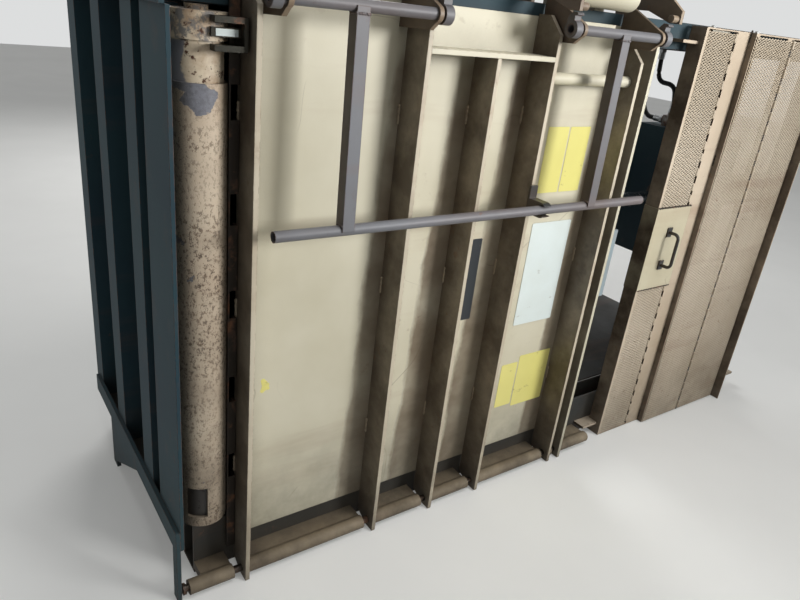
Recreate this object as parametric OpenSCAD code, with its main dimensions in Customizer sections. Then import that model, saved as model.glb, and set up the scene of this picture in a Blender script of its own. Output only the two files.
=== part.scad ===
// Vertical down-stroke recycling baler, lying on its right side.
// +X is the machine's own upward direction, -Y is its front, +Z is its left side.
// Inside the modules x counts from the underside, y from the front of the door ribs, z from the floor.

/* [Overall] */
// Width of the machine over its feet
machine_w = 1679; // [1500:1:1900]
// Width of the chamber between its side walls
chamber_w = 1327; // [1200:1:1400]
// Distance from the front of the door ribs to the back of the rear posts
machine_d = 950; // [850:1:1050]
// Height of the side posts above the underside
post_top = 2700; // [2600:10:2780]

/* [Base] */
// Width of each base beam
beam_w = 92; // [70:1:110]
// Height of each base beam
beam_h = 100; // [80:1:110]
// Distance between the base beams
beam_pitch = 300; // [270:1:310]
// Wall of the base beams
beam_wall = 8; // [5:1:10]
// Thickness of the chamber floor
floor_t = 10; // [8:1:12]
// Thickness of the foot plates under the posts
foot_t = 12; // [8:1:16]

/* [Walls] */
// Thickness of the side walls
wall_t = 6; // [4:1:8]
// Depth of a side post, front to back
post_d = 90; // [80:1:100]
// Width of the posts on the lock side
left_post_w = 84; // [70:1:120]
// Wall of the side posts
post_wall = 8; // [5:1:10]
// Height of the closed rear wall
rear_wall_h = 1500; // [1300:10:1600]
// Width of the channels that stiffen the walls
stiffener_w = 80; // [60:1:100]

/* [Door] */
// Height of the lowest rib above the underside
door_low = 180; // [175:1:190]
// Depth of the door ribs
rib_d = 90; // [70:1:92]
// Thickness of the door ribs
rib_t = 12.7; // [10:0.1:14]
// Thickness of the door skin
skin_t = 6; // [4:0.5:8]
// Gap between the hinge side of the skin and the floor
skin_low = 100; // [90:1:110]
// Distance from the lock side of the skin to the machine's left side
skin_gap = 119; // [115:1:139]
// Distance from the lock end of the full ribs to the machine's left side
rib_gap = 113; // [109:1:117]

/* [Hinge] */
// Diameter of the hinge pin
pin_d = 22; // [18:1:26]
// Diameter of the hinge barrels
barrel_d = 42; // [36:1:46]
// Height of the hinge axis above the floor
hinge_z = 28; // [25:1:32]
// Distance of the hinge axis behind the front of the ribs
hinge_y = 30; // [26:1:36]

/* [Lock lever] */
// Outer diameter of the lever pipes
pipe_d = 26.7; // [21:0.1:32]
// Wall of the lever pipes
pipe_wall = 2.9; // [2:0.1:4]
// Distance from the two lock shafts to the machine's left side
shaft_gap = 141; // [137:1:149]
// Distance of the lock shafts in front of the ribs
shaft_out = 46; // [44:1:52]
// Length of the lever arms, from the lock shafts to the grip bar
lever_l = 484; // [440:1:540]
// Width of the square lever arms
arm_w = 32; // [28:1:36]
// Thickness of the bearing plates
bearing_t = 12; // [8:1:14]
// Thickness of a lock cam
cam_t = 24; // [16:1:26]

/* [Gate] */
// Height of the gate's lower edge above the underside
gate_low = 1733; // [1700:1:1760]
// Width of the gate
gate_w = 1586; // [1500:1:1590]
// Height of the lower gate panel
gate_lower_h = 263; // [240:1:280]
// Height of the upper gate panel
gate_upper_h = 538; // [500:1:560]
// Depth of the gate frame
gate_d = 57; // [50:1:60]
// Sheet thickness of the gate frame
gate_t = 5; // [3:0.5:6]
// Distance that the upper panel stands forward of the lower one
gate_step = 22; // [15:1:26]
// Length of one diamond of the expanded mesh
mesh_long = 118; // [90:1:160]
// Height of one diamond of the expanded mesh
mesh_short = 60; // [40:1:80]
// Width of the strands between the diamonds
strand = 14; // [8:1:18]

/* [Press] */
// Height of the platen face in the position shown
platen_low = 1150; // [1120:1:1180]
// Height of the platen box
platen_h = 180; // [150:1:200]
// Diameter of the piston rod
rod_d = 63; // [50:1:70]
// Bore of the cylinder
bore_d = 127; // [110:1:140]
// Outer diameter of the cylinder tube
cylinder_d = 152; // [145:1:165]
// Height of the underside of the head beam
head_low = 2500; // [2480:1:2540]
// Length of the cylinder tube
cylinder_l = 1080; // [1060:1:1100]

/* [Sill tube and ejector] */
// Outer diameter of the sill sleeve
sleeve_d = 127; // [120:1:130]
// Wall of the sill sleeve
sleeve_wall = 8; // [6:0.5:10]
// Height of the sleeve axis above the underside
sleeve_x = 92; // [86:1:96]
// Number of strap slots
strap_count = 5; // [3:1:5]
// Distance between the strap slots
strap_pitch = 239.5; // [200:0.5:240]
// Length of a strap slot
strap_l = 75; // [50:1:90]
// Thickness of the ejector plate
ejector_t = 10; // [8:1:12]

/* [Power unit] */
// Length of the oil tank, side to side
tank_w = 560; // [450:1:700]
// Height of the oil tank
tank_h = 380; // [300:1:420]
// Depth of the oil tank
tank_d = 300; // [250:1:340]
// Diameter of the motor
motor_d = 190; // [160:1:210]

/* [Hidden] */
$fn = 48;

// Small gap between welded or seated round faces
seat = 0.3;
// Radial clearance of a running fit
run_fit = 0.1;
// Clearance that keeps loose lower edges off the floor
lift = 3;

center_z = machine_w / 2;
wall_z = (machine_w - chamber_w) / 2;
post_y = rib_d + 10;
rear_y = machine_d - post_d;
inner_rear = machine_d - 10;
floor_top = beam_h + floor_t;

// Distances of the ribs above the lowest one
rib_steps = [0, 426, 651, 857, 1224];
edge_step = 1282;
skin_high = machine_w - skin_gap;
rib_high = machine_w - rib_gap;
shelf_z = machine_w - 222;
short_rib_high = machine_w - 149;
cross_pipe_z = machine_w - 273;
bearing_high = machine_w - 51;
rib_x = [for (s = rib_steps) door_low + s];
edge_x = door_low + edge_step;

shaft_z = machine_w - shaft_gap;
grip_z = shaft_z - lever_l;
shaft_y = -shaft_out;
bearing_x = [rib_x[0] + 36, rib_x[1] - 26, rib_x[3] + 18, rib_x[4] - 16];
cam_side = [-1, 1, -1, 1];
cam_gap = 2;
cam_x = [rib_x[0] + 8, rib_x[1] - 4, rib_x[3] - 9, rib_x[4] + 8];
arm_x = [rib_x[0] + 200, rib_x[3] + 191];
keeper_pin_d = 20;
keeper_pin_y = shaft_y - 16;
keeper_pin_z = shaft_z + 56;

sleeve_y = rib_d + 26;
sleeve_r = sleeve_d / 2;
tube_r = sleeve_r - sleeve_wall - run_fit;
sleeve_low = 202;
sleeve_high = machine_w - 321;
collar_low = machine_w - 238;
collar_high = machine_w - 183;
eject_arm_z = [430, center_z - 40, machine_w - 509];
eject_arm_w = 60;

gate_y = 31;
gate_top = gate_low + gate_lower_h + gate_upper_h;
gate_mid = gate_low + gate_lower_h;
gate_upper_y = gate_y - gate_step;
gate_back = gate_y + gate_d;
rail_t = 10;
rail_d = 50;
rail_z = [50, gate_w - 47];

head_h = 140;
head_d = 130;
head_wall = 12;
head_box_w = 623;
head_box_d = 450;
press_y = (post_y + inner_rear) / 2;
rod_eye = platen_low + platen_h + 60;
piston_end = head_low - 30 + 150;

// Moves the machine so that its origin lies under the middle of its box
module place() {
    translate([-(part_len - foot_t) / 2, -(front_y + back_y) / 2, 0]) children();
}

front_y = keeper_pin_y - keeper_pin_d / 2 - 3;
tank_y = machine_d + 30;
back_y = tank_y + tank_d;
part_len = head_low - 30 + cylinder_l + 20;

module box_at(x, y, z, dx, dy, dz) {
    translate([x, y, z]) cube([dx, dy, dz]);
}

module rod_x(x, y, z, len, d) {
    translate([x, y, z]) rotate([0, 90, 0]) cylinder(d = d, h = len);
}

module rod_z(x, y, z, len, d) {
    translate([x, y, z]) cylinder(d = d, h = len);
}

// Plate of thickness t standing across X with an outline given as [y, z] points
module plate_x(x, t, points) {
    translate([x, 0, 0])
        rotate([90, 0, 90])
            linear_extrude(height = t) polygon(points);
}

module left_side() {
    translate([0, 0, machine_w]) mirror([0, 0, 1]) children();
}

// Base

module beam_at(y) {
    z0 = wall_z;
    difference() {
        box_at(0, y, z0, beam_h, beam_w, chamber_w);
        box_at(beam_wall, y + beam_wall, z0 - 1,
            beam_h - 2 * beam_wall, beam_w - 2 * beam_wall, chamber_w + 2);
    }
}

first_beam_y = post_y + 157;

module base_beams() {
    color([0.20, 0.33, 0.35])
        place() for (i = [0:2]) beam_at(first_beam_y + i * beam_pitch);
}

module floor_plate() {
    color([0.12, 0.24, 0.26])
        place() box_at(beam_h, post_y + 130, wall_z, floor_t, inner_rear - post_y - 130, chamber_w);
}

foot_band = 60;
foot_back = machine_d - 40;

// Foot with two legs and a band between them whose outer edge lies at z0
module foot_outline(z0) {
    polygon([
        [20, 0], [50, 0], [50, z0], [397, z0], [668, 24], [668, 0],
        [713, 0], [713, z0], [foot_back, z0], [foot_back, z0 + foot_band], [20, z0 + foot_band]
    ]);
}

module foot_plate(z0) {
    translate([-foot_t, 0, 0]) rotate([90, 0, 90]) linear_extrude(height = foot_t) foot_outline(z0);
}

module foot_plates() {
    color([0.16, 0.27, 0.28]) place() {
        foot_plate(wall_z);
        left_side() foot_plate(wall_z - foot_band);
    }
}

sill_flange_t = 10;

module front_sill() {
    color([0.22, 0.36, 0.37]) place() {
        box_at(0, 20, wall_z, sill_flange_t, post_y + 92 - 20, chamber_w);
        box_at(sill_flange_t, post_y + 84, wall_z, 78 - sill_flange_t, 8, chamber_w);
    }
}

// Walls and posts

module side_wall() {
    box_at(0, post_y + 92, wall_z - wall_t, post_top - 60, machine_d - post_y - 92, wall_t);
}

module side_wall_right() {
    color([0.23, 0.31, 0.33]) place() side_wall();
}

module side_wall_left() {
    color([0.18, 0.28, 0.30]) place() left_side() side_wall();
}

post_low = 60;

// Channel post that reaches from the side wall outwards by the given width
module post(y, width) {
    z0 = wall_z - wall_t - width;
    difference() {
        box_at(post_low, y, z0, post_top - post_low, post_d, width);
        translate([post_low - 1, y + post_wall, z0 + post_wall])
            cube([post_top - post_low + 2, post_d - 2 * post_wall, width]);
    }
}

right_post_w = wall_z - wall_t;
left_post_z = machine_w - wall_z + wall_t + left_post_w;

module post_right_front() {
    color([0.17, 0.27, 0.29]) place() post(post_y, right_post_w);
}

module post_right_rear() {
    color([0.17, 0.27, 0.29]) place() post(rear_y, right_post_w);
}

module post_left_front() {
    color([0.20, 0.31, 0.33]) place() left_side() post(post_y, left_post_w);
}

module post_left_rear() {
    color([0.20, 0.31, 0.33]) place() left_side() post(rear_y, left_post_w);
}

stiffener_x = [360, 860, 1360, 2060];
stiffener_d = 60;

module channel_y(x, y0, y1, z0) {
    difference() {
        box_at(x, y0, z0 - stiffener_d, stiffener_w, y1 - y0, stiffener_d);
        box_at(x + post_wall, y0 - 1, z0 - stiffener_d + post_wall,
            stiffener_w - 2 * post_wall, y1 - y0 + 2, stiffener_d);
    }
}

module side_stiffener_set() {
    for (x = stiffener_x) channel_y(x, post_y + post_d, rear_y, wall_z - wall_t);
}

module side_stiffeners() {
    color([0.18, 0.28, 0.30]) place() {
        side_stiffener_set();
        left_side() side_stiffener_set();
    }
}

module rear_wall() {
    color([0.18, 0.28, 0.30])
        place() box_at(floor_top, inner_rear - 6, wall_z, rear_wall_h - floor_top, 6, chamber_w);
}

rear_rib_d = 40;
tie_x = [rear_wall_h + 420, post_top - 200];
tie_w = 60;

// Channels across the rear wall, and two flat ties between the rear posts above it
module rear_stiffeners() {
    color([0.18, 0.28, 0.30]) place() {
        for (x = stiffener_x)
            if (x + stiffener_w < rear_wall_h)
                difference() {
                    box_at(x, inner_rear, wall_z, stiffener_w, rear_rib_d, chamber_w);
                    box_at(x + post_wall, inner_rear - 1, wall_z - 1,
                        stiffener_w - 2 * post_wall, rear_rib_d - post_wall + 1, chamber_w + 2);
                }
        for (x = tie_x) box_at(x, inner_rear - 6, wall_z, tie_w, 16, chamber_w);
    }
}

// Strap bar with its open slots, in line with the grooves of the platen

function strap_z(i) = center_z + (i - (strap_count - 1) / 2) * strap_pitch;

strap_bar_w = 23;
strap_bar_x = door_low - rib_t / 2 - 3 - strap_bar_w;

strap_back = 4;

// Flat back strip, and the angle pieces that are welded to it between the slots
module strap_bar() {
    z0 = hinge_z + barrel_d / 2 + 26;
    len = machine_w - 2 * z0;
    color([0.50, 0.52, 0.50]) place() {
        box_at(strap_bar_x, post_y - 22, z0, strap_back, 6, len);
        difference() {
            union() {
                box_at(strap_bar_x + strap_back + 0.1, post_y - 22, z0,
                    strap_bar_w - strap_back - 0.1, 6, len);
                box_at(strap_bar_x + strap_bar_w - 6, post_y - 16, z0, 6, 16, len);
            }
            for (i = [0 : strap_count - 1])
                box_at(strap_bar_x, post_y - 40, strap_z(i) - strap_l / 2, strap_bar_w + 1, 60, strap_l);
        }
    }
}

// Sill sleeve that carries the ejector shaft

saddle_z = [260, center_z, 1300];

module ejector_window(z) {
    reach = sleeve_r + 20;
    translate([sleeve_x, sleeve_y, z - eject_arm_w / 2 - 6])
        linear_extrude(height = eject_arm_w + 12)
            polygon([
                [0, 0], [-0.35 * reach, 1.6 * reach], [1.6 * reach, 1.6 * reach], [1.6 * reach, -0.25 * reach]
            ]);
}

module sill_sleeve() {
    color([0.83, 0.77, 0.68]) place()
        difference() {
            union() {
                rod_z(sleeve_x, sleeve_y, sleeve_low, sleeve_high - sleeve_low, sleeve_d);
                for (z = saddle_z)
                    box_at(sill_flange_t, sleeve_y - 20, z - 15, sleeve_x - sill_flange_t, 40, 30);
            }
            rod_z(sleeve_x, sleeve_y, sleeve_low - 1, sleeve_high - sleeve_low + 2, 2 * (tube_r + run_fit));
            for (z = eject_arm_z) ejector_window(z);
            box_at(sleeve_x - 52, 0, sleeve_low + 30, 45, sleeve_y - 20, 95);
        }
}

// Hinge on the floor side

side_gap = 1;
lift_gap = 24;
stub_end = edge_x + 178;
barrel_ends = [
    [20, strap_bar_x + strap_bar_w],
    for (i = [0:3]) [rib_x[i] + rib_t / 2, rib_x[i + 1] - rib_t / 2],
    [rib_x[4] + rib_t / 2, edge_x - rib_t / 2],
    [edge_x + rib_t / 2, stub_end + lift_gap]
];

module hinge_barrels() {
    color([0.80, 0.73, 0.62]) place()
        for (b = barrel_ends) {
            x0 = b[0] + side_gap;
            len = b[1] - b[0] - side_gap - lift_gap;
            strap_x = max(x0, post_low);
            difference() {
                union() {
                    rod_x(x0, hinge_y, hinge_z, len, barrel_d);
                    box_at(strap_x, hinge_y, hinge_z - 13, x0 + len - strap_x, post_y - hinge_y, 26);
                }
                rod_x(x0 - 1, hinge_y, hinge_z, len + 2, pin_d + 2 * run_fit);
            }
        }
}

module hinge_pin() {
    x0 = 12;
    color([0.42, 0.40, 0.38]) place() {
        rod_x(x0, hinge_y, hinge_z, stub_end - 2 - x0, pin_d);
        rod_x(x0 - 8, hinge_y, hinge_z, 8, pin_d + 10);
    }
}

// Keepers on the lock side

lug_t = 12;
lug_low = skin_high + 50;

function lug_x(i) = cam_side[i] < 0
    ? cam_x[i] - cam_t / 2 - cam_gap - lug_t
    : cam_x[i] + cam_t / 2 + cam_gap;

module keeper_lug(i) {
    tip = keeper_pin_y - keeper_pin_d / 2 - 3;
    low = keeper_pin_z - keeper_pin_d / 2 - 2;
    pin_x0 = cam_side[i] < 0 ? lug_x(i) : lug_x(i) - cam_t - cam_gap;
    plate_x(lug_x(i), lug_t, [
        [post_y, lug_low], [post_y, left_post_z], [post_y + 60, left_post_z], [post_y + 60, left_post_z + 20],
        [post_y, machine_w], [10, machine_w], [tip, low + 34], [tip, low],
        [keeper_pin_y + 20, low], [40, lug_low]
    ]);
    rod_x(pin_x0, keeper_pin_y, keeper_pin_z, lug_t + cam_t + cam_gap, keeper_pin_d);
}

module keeper_lugs() {
    color([0.83, 0.79, 0.72]) place() for (i = [0:3]) keeper_lug(i);
}

keeper_tube_d = 76;
keeper_tube_y = 39;

module keeper_tube() {
    z = machine_w - keeper_tube_d / 2 - 6;
    x0 = rib_x[3] + 30;
    len = 263;
    color([0.86, 0.82, 0.76]) place() {
        difference() {
            union() {
                rod_x(x0, keeper_tube_y, z, len, keeper_tube_d);
                for (s = [30, len - 70]) {
                    box_at(x0 + s, keeper_tube_y, z - 20, 40, post_y + 50 - keeper_tube_y, 40);
                    box_at(x0 + s, post_y, left_post_z, 40, 50, z - 20 - left_post_z);
                }
            }
            rod_x(x0 - 1, keeper_tube_y, z, len + 2, keeper_tube_d - 12);
        }
    }
}

module gate_rails() {
    x0 = stub_end + 10;
    color([0.55, 0.52, 0.47]) place()
        for (z = rail_z) box_at(x0, post_y - rail_d, z - rail_t / 2, post_top + 60 - x0, rail_d, rail_t);
}

// Door

module door_skin() {
    x0 = rib_x[0] - rib_t / 2;
    color([0.86, 0.82, 0.72]) place()
        box_at(x0, rib_d, skin_low, edge_x + rib_t / 2 - x0, skin_t, skin_high - skin_low);
}

module pin_hole(x) {
    rod_x(x - rib_t, hinge_y, hinge_z, 2 * rib_t, pin_d + 2 * run_fit);
}

// Rib across X: its rear corner by the floor and its front corner by the lock are cut back
module rib_at(x, high, chamfer) {
    difference() {
        plate_x(x - rib_t / 2, rib_t, [
            [0, lift], [hinge_y + 12, lift], [rib_d, hinge_z], [rib_d, high],
            [chamfer, high], [0, high - chamfer]
        ]);
        pin_hole(x);
    }
}

front_cut = 46;

module door_rib_1() {
    color([0.80, 0.75, 0.66]) place() rib_at(rib_x[0], rib_high, front_cut);
}

module door_rib_2() {
    color([0.80, 0.75, 0.66]) place() rib_at(rib_x[1], rib_high, front_cut);
}

module door_rib_3() {
    color([0.80, 0.75, 0.66]) place() rib_at(rib_x[2], shelf_z - rib_t / 2, 1);
}

module door_rib_4() {
    color([0.80, 0.75, 0.66]) place() rib_at(rib_x[3], rib_high, front_cut);
}

module door_rib_5() {
    color([0.80, 0.75, 0.66]) place() rib_at(rib_x[4], short_rib_high, 66);
}

module door_edge_plate() {
    color([0.84, 0.80, 0.72]) place() rib_at(edge_x, rib_high, front_cut);
}

module door_shelf() {
    x0 = rib_x[1] + rib_t / 2;
    color([0.84, 0.80, 0.72]) place()
        box_at(x0, 0, shelf_z - rib_t / 2, rib_x[3] - rib_t / 2 - x0, rib_d, rib_t);
}

cross_pipe_d = 33;

module door_cross_pipe() {
    x0 = rib_x[3] + rib_t / 2;
    len = rib_x[4] - rib_t / 2 - x0;
    color([0.86, 0.82, 0.75]) place()
        difference() {
            rod_x(x0, 37, cross_pipe_z, len, cross_pipe_d);
            rod_x(x0 - 1, 37, cross_pipe_z, len + 2, cross_pipe_d - 7);
        }
}

module bearing_plate(x) {
    difference() {
        union() {
            plate_x(x - bearing_t / 2, bearing_t, [
                [shaft_y - 11, shaft_z + 16], [rib_d, bearing_high], [rib_d, skin_high - 60],
                [shaft_y + 15, shaft_z - 35], [shaft_y - 14, shaft_z - 12]
            ]);
            rod_x(x - bearing_t / 2, shaft_y, shaft_z, bearing_t, pipe_d + 12);
        }
        rod_x(x - bearing_t, shaft_y, shaft_z, 2 * bearing_t, pipe_d + 2 * run_fit);
    }
}

module bearing_plates() {
    color([0.85, 0.81, 0.74]) place() for (x = bearing_x) bearing_plate(x);
}

module door_end_bar() {
    x0 = bearing_x[2] + bearing_t / 2;
    color([0.88, 0.85, 0.79]) place()
        box_at(x0, 20, skin_high - 16, 210, rib_d - 20, 16);
}

module door_edge_strip() {
    color([0.60, 0.65, 0.67]) place()
        box_at(edge_x + rib_t / 2, 2, center_z - 149.5, 22, 8, 243);
}

clip_t = 8;

module bar_keeper() {
    inner = pipe_d / 2 + 1;
    x0 = rib_x[3] - 14;
    color([0.08, 0.08, 0.08]) place() {
        difference() {
            union() {
                rod_x(x0, shaft_y - 8, grip_z, 28, 2 * (inner + clip_t));
                box_at(x0, shaft_y - 8, grip_z - inner - clip_t, 28, shaft_out + 8, 2 * (inner + clip_t));
                box_at(x0, -clip_t, grip_z, 28, clip_t, 58);
            }
            rod_x(x0 - 1, shaft_y - 8, grip_z, 30, 2 * inner);
            box_at(x0 - 1, shaft_y - 60, grip_z - inner, 30, 52, 2 * inner);
        }
    }
}

// Lock lever

grip_y = shaft_y - 8;

module lock_shaft(x0, x1) {
    difference() {
        rod_x(x0, shaft_y, shaft_z, x1 - x0, pipe_d);
        rod_x(x0 - 1, shaft_y, shaft_z, x1 - x0 + 2, pipe_d - 2 * pipe_wall);
    }
}

module lock_shaft_lower() {
    color([0.55, 0.58, 0.61]) place()
        lock_shaft(cam_x[0] - cam_t / 2, cam_x[1] + cam_t / 2);
}

module lock_shaft_upper() {
    color([0.55, 0.58, 0.61]) place()
        lock_shaft(cam_x[2] - cam_t / 2, cam_x[3] + cam_t / 2);
}

module lever_arm(x) {
    difference() {
        translate([x - arm_w / 2, 0, 0])
            rotate([90, 0, 90])
                linear_extrude(height = arm_w)
                    polygon([
                        [grip_y - arm_w / 2, grip_z], [grip_y + arm_w / 2, grip_z],
                        [shaft_y + arm_w / 2, shaft_z], [shaft_y - arm_w / 2, shaft_z]
                    ]);
        rod_x(x - arm_w, shaft_y, shaft_z, 2 * arm_w, pipe_d + 2 * seat);
        rod_x(x - arm_w, grip_y, grip_z, 2 * arm_w, pipe_d + 2 * seat);
        translate([x - arm_w / 2 + 3, 0, 0])
            rotate([90, 0, 90])
                linear_extrude(height = arm_w - 6)
                    polygon([
                        [grip_y - arm_w / 2 + 3, grip_z - 1], [grip_y + arm_w / 2 - 3, grip_z - 1],
                        [shaft_y + arm_w / 2 - 3, shaft_z + 1], [shaft_y - arm_w / 2 + 3, shaft_z + 1]
                    ]);
    }
}

module lever_arms() {
    color([0.50, 0.53, 0.57]) place() for (x = arm_x) lever_arm(x);
}

module grip_bar() {
    x0 = rib_x[0] + 18;
    x1 = edge_x + 23;
    color([0.55, 0.58, 0.61]) place()
        difference() {
            rod_x(x0, grip_y, grip_z, x1 - x0, pipe_d);
            rod_x(x0 - 1, grip_y, grip_z, x1 - x0 + 2, pipe_d - 2 * pipe_wall);
        }
}

cam_d = 44;

// Hook cam: a round boss with a nose that lies just clear of the keeper pin
module lock_cam(x) {
    difference() {
        union() {
            rod_x(x - cam_t / 2, shaft_y, shaft_z, cam_t, cam_d);
            plate_x(x - cam_t / 2, cam_t, [
                [shaft_y - 6, shaft_z], [shaft_y - 6, shaft_z + 33], [shaft_y - 15, shaft_z + 35],
                [shaft_y - 12, shaft_z + 41], [shaft_y + 3, shaft_z + 42], [shaft_y + 18, shaft_z + 28],
                [shaft_y + 20, shaft_z]
            ]);
        }
        rod_x(x - cam_t, shaft_y, shaft_z, 2 * cam_t, pipe_d + 2 * seat);
    }
}

module lock_cams() {
    color([0.52, 0.53, 0.54]) place() for (x = cam_x) lock_cam(x);
}

// Gate

rail_gap = 0.5;

// Notch that lets a guide rail pass
module rail_notch(x, len, z_rail) {
    box_at(x - 1, post_y - rail_d - rail_gap, z_rail - rail_t / 2 - rail_gap,
        len + 2, rail_d, rail_t + 2 * rail_gap);
}

// Folded sheet frame: transverse plates, end plates and the flat bars across its front
module gate_frame_at(x, y, depth, height, bars) {
    z0 = lift;
    difference() {
        for (px = [x, x + height - gate_t]) box_at(px, y, z0, gate_t, depth, gate_w);
        for (z = rail_z) rail_notch(x, height, z);
    }
    for (z = [z0, z0 + gate_w - gate_t]) box_at(x, y, z, height, depth, gate_t);
    for (b = bars) box_at(x + b[0], y, z0, b[1], gate_t, gate_w);
}

lower_rail_w = 78;
thin_rail_w = 46;
thin_rail_x = 214;

module gate_lower_frame() {
    color([0.70, 0.63, 0.55]) place()
        gate_frame_at(gate_low, gate_y, gate_d, gate_lower_h,
            [[0, 14], [gate_lower_h - lower_rail_w, lower_rail_w]]);
}

lip_d = 37;

module gate_upper_frame() {
    color([0.74, 0.66, 0.58]) place() {
        gate_frame_at(gate_mid, gate_upper_y, gate_d + gate_step, gate_upper_h,
            [[0, 24], [thin_rail_x, thin_rail_w], [gate_upper_h - 12, 12]]);
        box_at(gate_top - gate_t, gate_upper_y - lip_d, lift, gate_t, lip_d, gate_w);
    }
}

mesh_t = 3;

// Expanded metal: one wall pierced by rows of diamonds, every other row shifted by half a diamond
module mesh_sheet(x, y, height) {
    len = gate_w - 2 * gate_t;
    rows = floor(height / mesh_short * 2 - 0.5);
    cols = floor(len / mesh_long);
    half_l = (mesh_long - strand) / 2;
    half_s = (mesh_short - strand * 0.6) / 2;
    margin_x = (height - (rows + 1) * mesh_short / 2) / 2;
    margin_z = (len - cols * mesh_long) / 2;
    translate([x, y + mesh_t, lift + gate_t])
        rotate([90, 0, 0])
            linear_extrude(height = mesh_t)
                difference() {
                    square([height, len]);
                    for (r = [0 : rows - 1])
                        for (c = [0 : cols - 1 - r % 2])
                            translate([
                                margin_x + (r + 1) * mesh_short / 2,
                                margin_z + (c + 0.5 + (r % 2) * 0.5) * mesh_long
                            ])
                                polygon([[-half_s, 0], [0, -half_l], [half_s, 0], [0, half_l]]);
                }
}

module gate_mesh_lower() {
    color([0.80, 0.73, 0.65]) place()
        mesh_sheet(gate_low + gate_t, gate_y + gate_t, gate_lower_h - 2 * gate_t);
}

module gate_mesh_middle() {
    color([0.82, 0.75, 0.67]) place()
        mesh_sheet(gate_mid + gate_t, gate_upper_y + gate_t, thin_rail_x + thin_rail_w / 2 - gate_t);
}

module gate_mesh_upper() {
    x0 = thin_rail_x + thin_rail_w / 2;
    color([0.82, 0.75, 0.67]) place()
        mesh_sheet(gate_mid + x0, gate_upper_y + gate_t, gate_upper_h - gate_t - x0);
}

handle_plate_z = [658, 980];
handle_plate_t = 4;

module gate_handle_plate() {
    z0 = handle_plate_z[0];
    len = handle_plate_z[1] - z0;
    color([0.84, 0.80, 0.70]) place() {
        box_at(gate_low - handle_plate_t, gate_y - handle_plate_t, z0,
            gate_lower_h - 60, handle_plate_t, len);
        box_at(gate_low - handle_plate_t, gate_y, z0, handle_plate_t, gate_d, len);
    }
}

grip_reach = 44;
handle_len = 130;
handle_bar_d = 12;

// Pull handle bent from round bar, with a flat foot at each end
module gate_handle() {
    x = gate_low + 100;
    y0 = gate_y - handle_plate_t;
    bend = 18;
    z0 = (handle_plate_z[0] + handle_plate_z[1] - handle_len) / 2;
    color([0.22, 0.22, 0.23]) place() {
        for (z = [z0, z0 + handle_len]) {
            box_at(x - 14, y0 - 4, z - 18, 28, 4, 36);
            translate([x, y0 - 4, z]) rotate([90, 0, 0])
                cylinder(d = handle_bar_d, h = grip_reach - bend - 4);
        }
        translate([x, y0 - grip_reach + bend, z0 + bend])
            rotate([0, -90, 0])
                rotate([0, 0, 180])
                    rotate_extrude(angle = 90) translate([bend, 0]) circle(d = handle_bar_d);
        translate([x, y0 - grip_reach + bend, z0 + handle_len - bend])
            rotate([0, -90, 0])
                rotate([0, 0, 270])
                    rotate_extrude(angle = 90) translate([bend, 0]) circle(d = handle_bar_d);
        rod_z(x, y0 - grip_reach, z0 + bend, handle_len - 2 * bend, handle_bar_d);
    }
}

shoe_l = 100;
shoe_w = 34;
shoe_x = [gate_low + 50, gate_top - gate_t - 150];

// Slotted guide shoe that straddles a rail, seated on the end of the gate frame
module gate_shoe(x, z_rail, z_end) {
    y0 = gate_y + gate_t + mesh_t + 2;
    low = min(z_rail - shoe_w / 2, z_end);
    high = max(z_rail + shoe_w / 2, z_end);
    difference() {
        box_at(x, y0, low, shoe_l, gate_back - y0, high - low);
        rail_notch(x, shoe_l, z_rail);
    }
}

module gate_shoes() {
    color([0.85, 0.85, 0.80]) place()
        for (x = shoe_x) {
            gate_shoe(x, rail_z[0], lift + gate_t);
            gate_shoe(x, rail_z[1], lift + gate_w - gate_t);
        }
}

// Press

// Outline of the head: a slim beam from wall to wall, with a deep box in its middle, less a margin
module head_shape(margin, past) {
    x0 = head_low + margin;
    h = head_h - 2 * margin;
    box_at(x0, press_y - head_d / 2 + margin, wall_z - past, h, head_d - 2 * margin, chamber_w + 2 * past);
    box_at(x0, press_y - head_box_d / 2 + margin, center_z - head_box_w / 2 + margin, h,
        head_box_d - 2 * margin, head_box_w - 2 * margin);
}

module head_beam() {
    color([0.18, 0.29, 0.31]) place()
        difference() {
            head_shape(0, 0);
            difference() {
                head_shape(head_wall, 1);
                rod_x(head_low, press_y, center_z, head_h, cylinder_d + 40);
            }
            rod_x(head_low - 1, press_y, center_z, head_h + 2, cylinder_d + 2 * seat);
        }
}

flange_d = 240;
flange_t = 30;

module cylinder_body() {
    x0 = head_low - 30;
    difference() {
        union() {
            rod_x(x0, press_y, center_z, cylinder_l, cylinder_d);
            rod_x(head_low + head_h, press_y, center_z, flange_t, flange_d);
            rod_x(x0 + cylinder_l, press_y, center_z, 20, cylinder_d + 10);
            for (x = [head_low + head_h + 70, x0 + cylinder_l - 50])
                translate([x, press_y, center_z]) rotate([-90, 0, 0])
                    cylinder(d = 38, h = cylinder_d / 2 + 22);
        }
        rod_x(x0 + 30, press_y, center_z, cylinder_l - 30, bore_d);
        rod_x(x0 - 1, press_y, center_z, 40, rod_d + 2 * run_fit);
    }
}

module cylinder_node() {
    color([0.16, 0.17, 0.18]) place() cylinder_body();
}

module piston_rod() {
    color([0.72, 0.74, 0.76]) place() {
        rod_x(rod_eye, press_y, center_z, piston_end - rod_eye, rod_d);
        rod_x(piston_end - 40, press_y, center_z, 40, bore_d - 2 * run_fit);
    }
}

groove_w = 40;
groove_d = 30;
platen_gap = 6;
platen_t = 10;
platen_y = post_y + platen_gap;
platen_d = inner_rear - 6 - platen_gap - platen_y;
platen_z = wall_z + platen_gap;
platen_w = chamber_w - 2 * platen_gap;
face_wall = 8;

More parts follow.
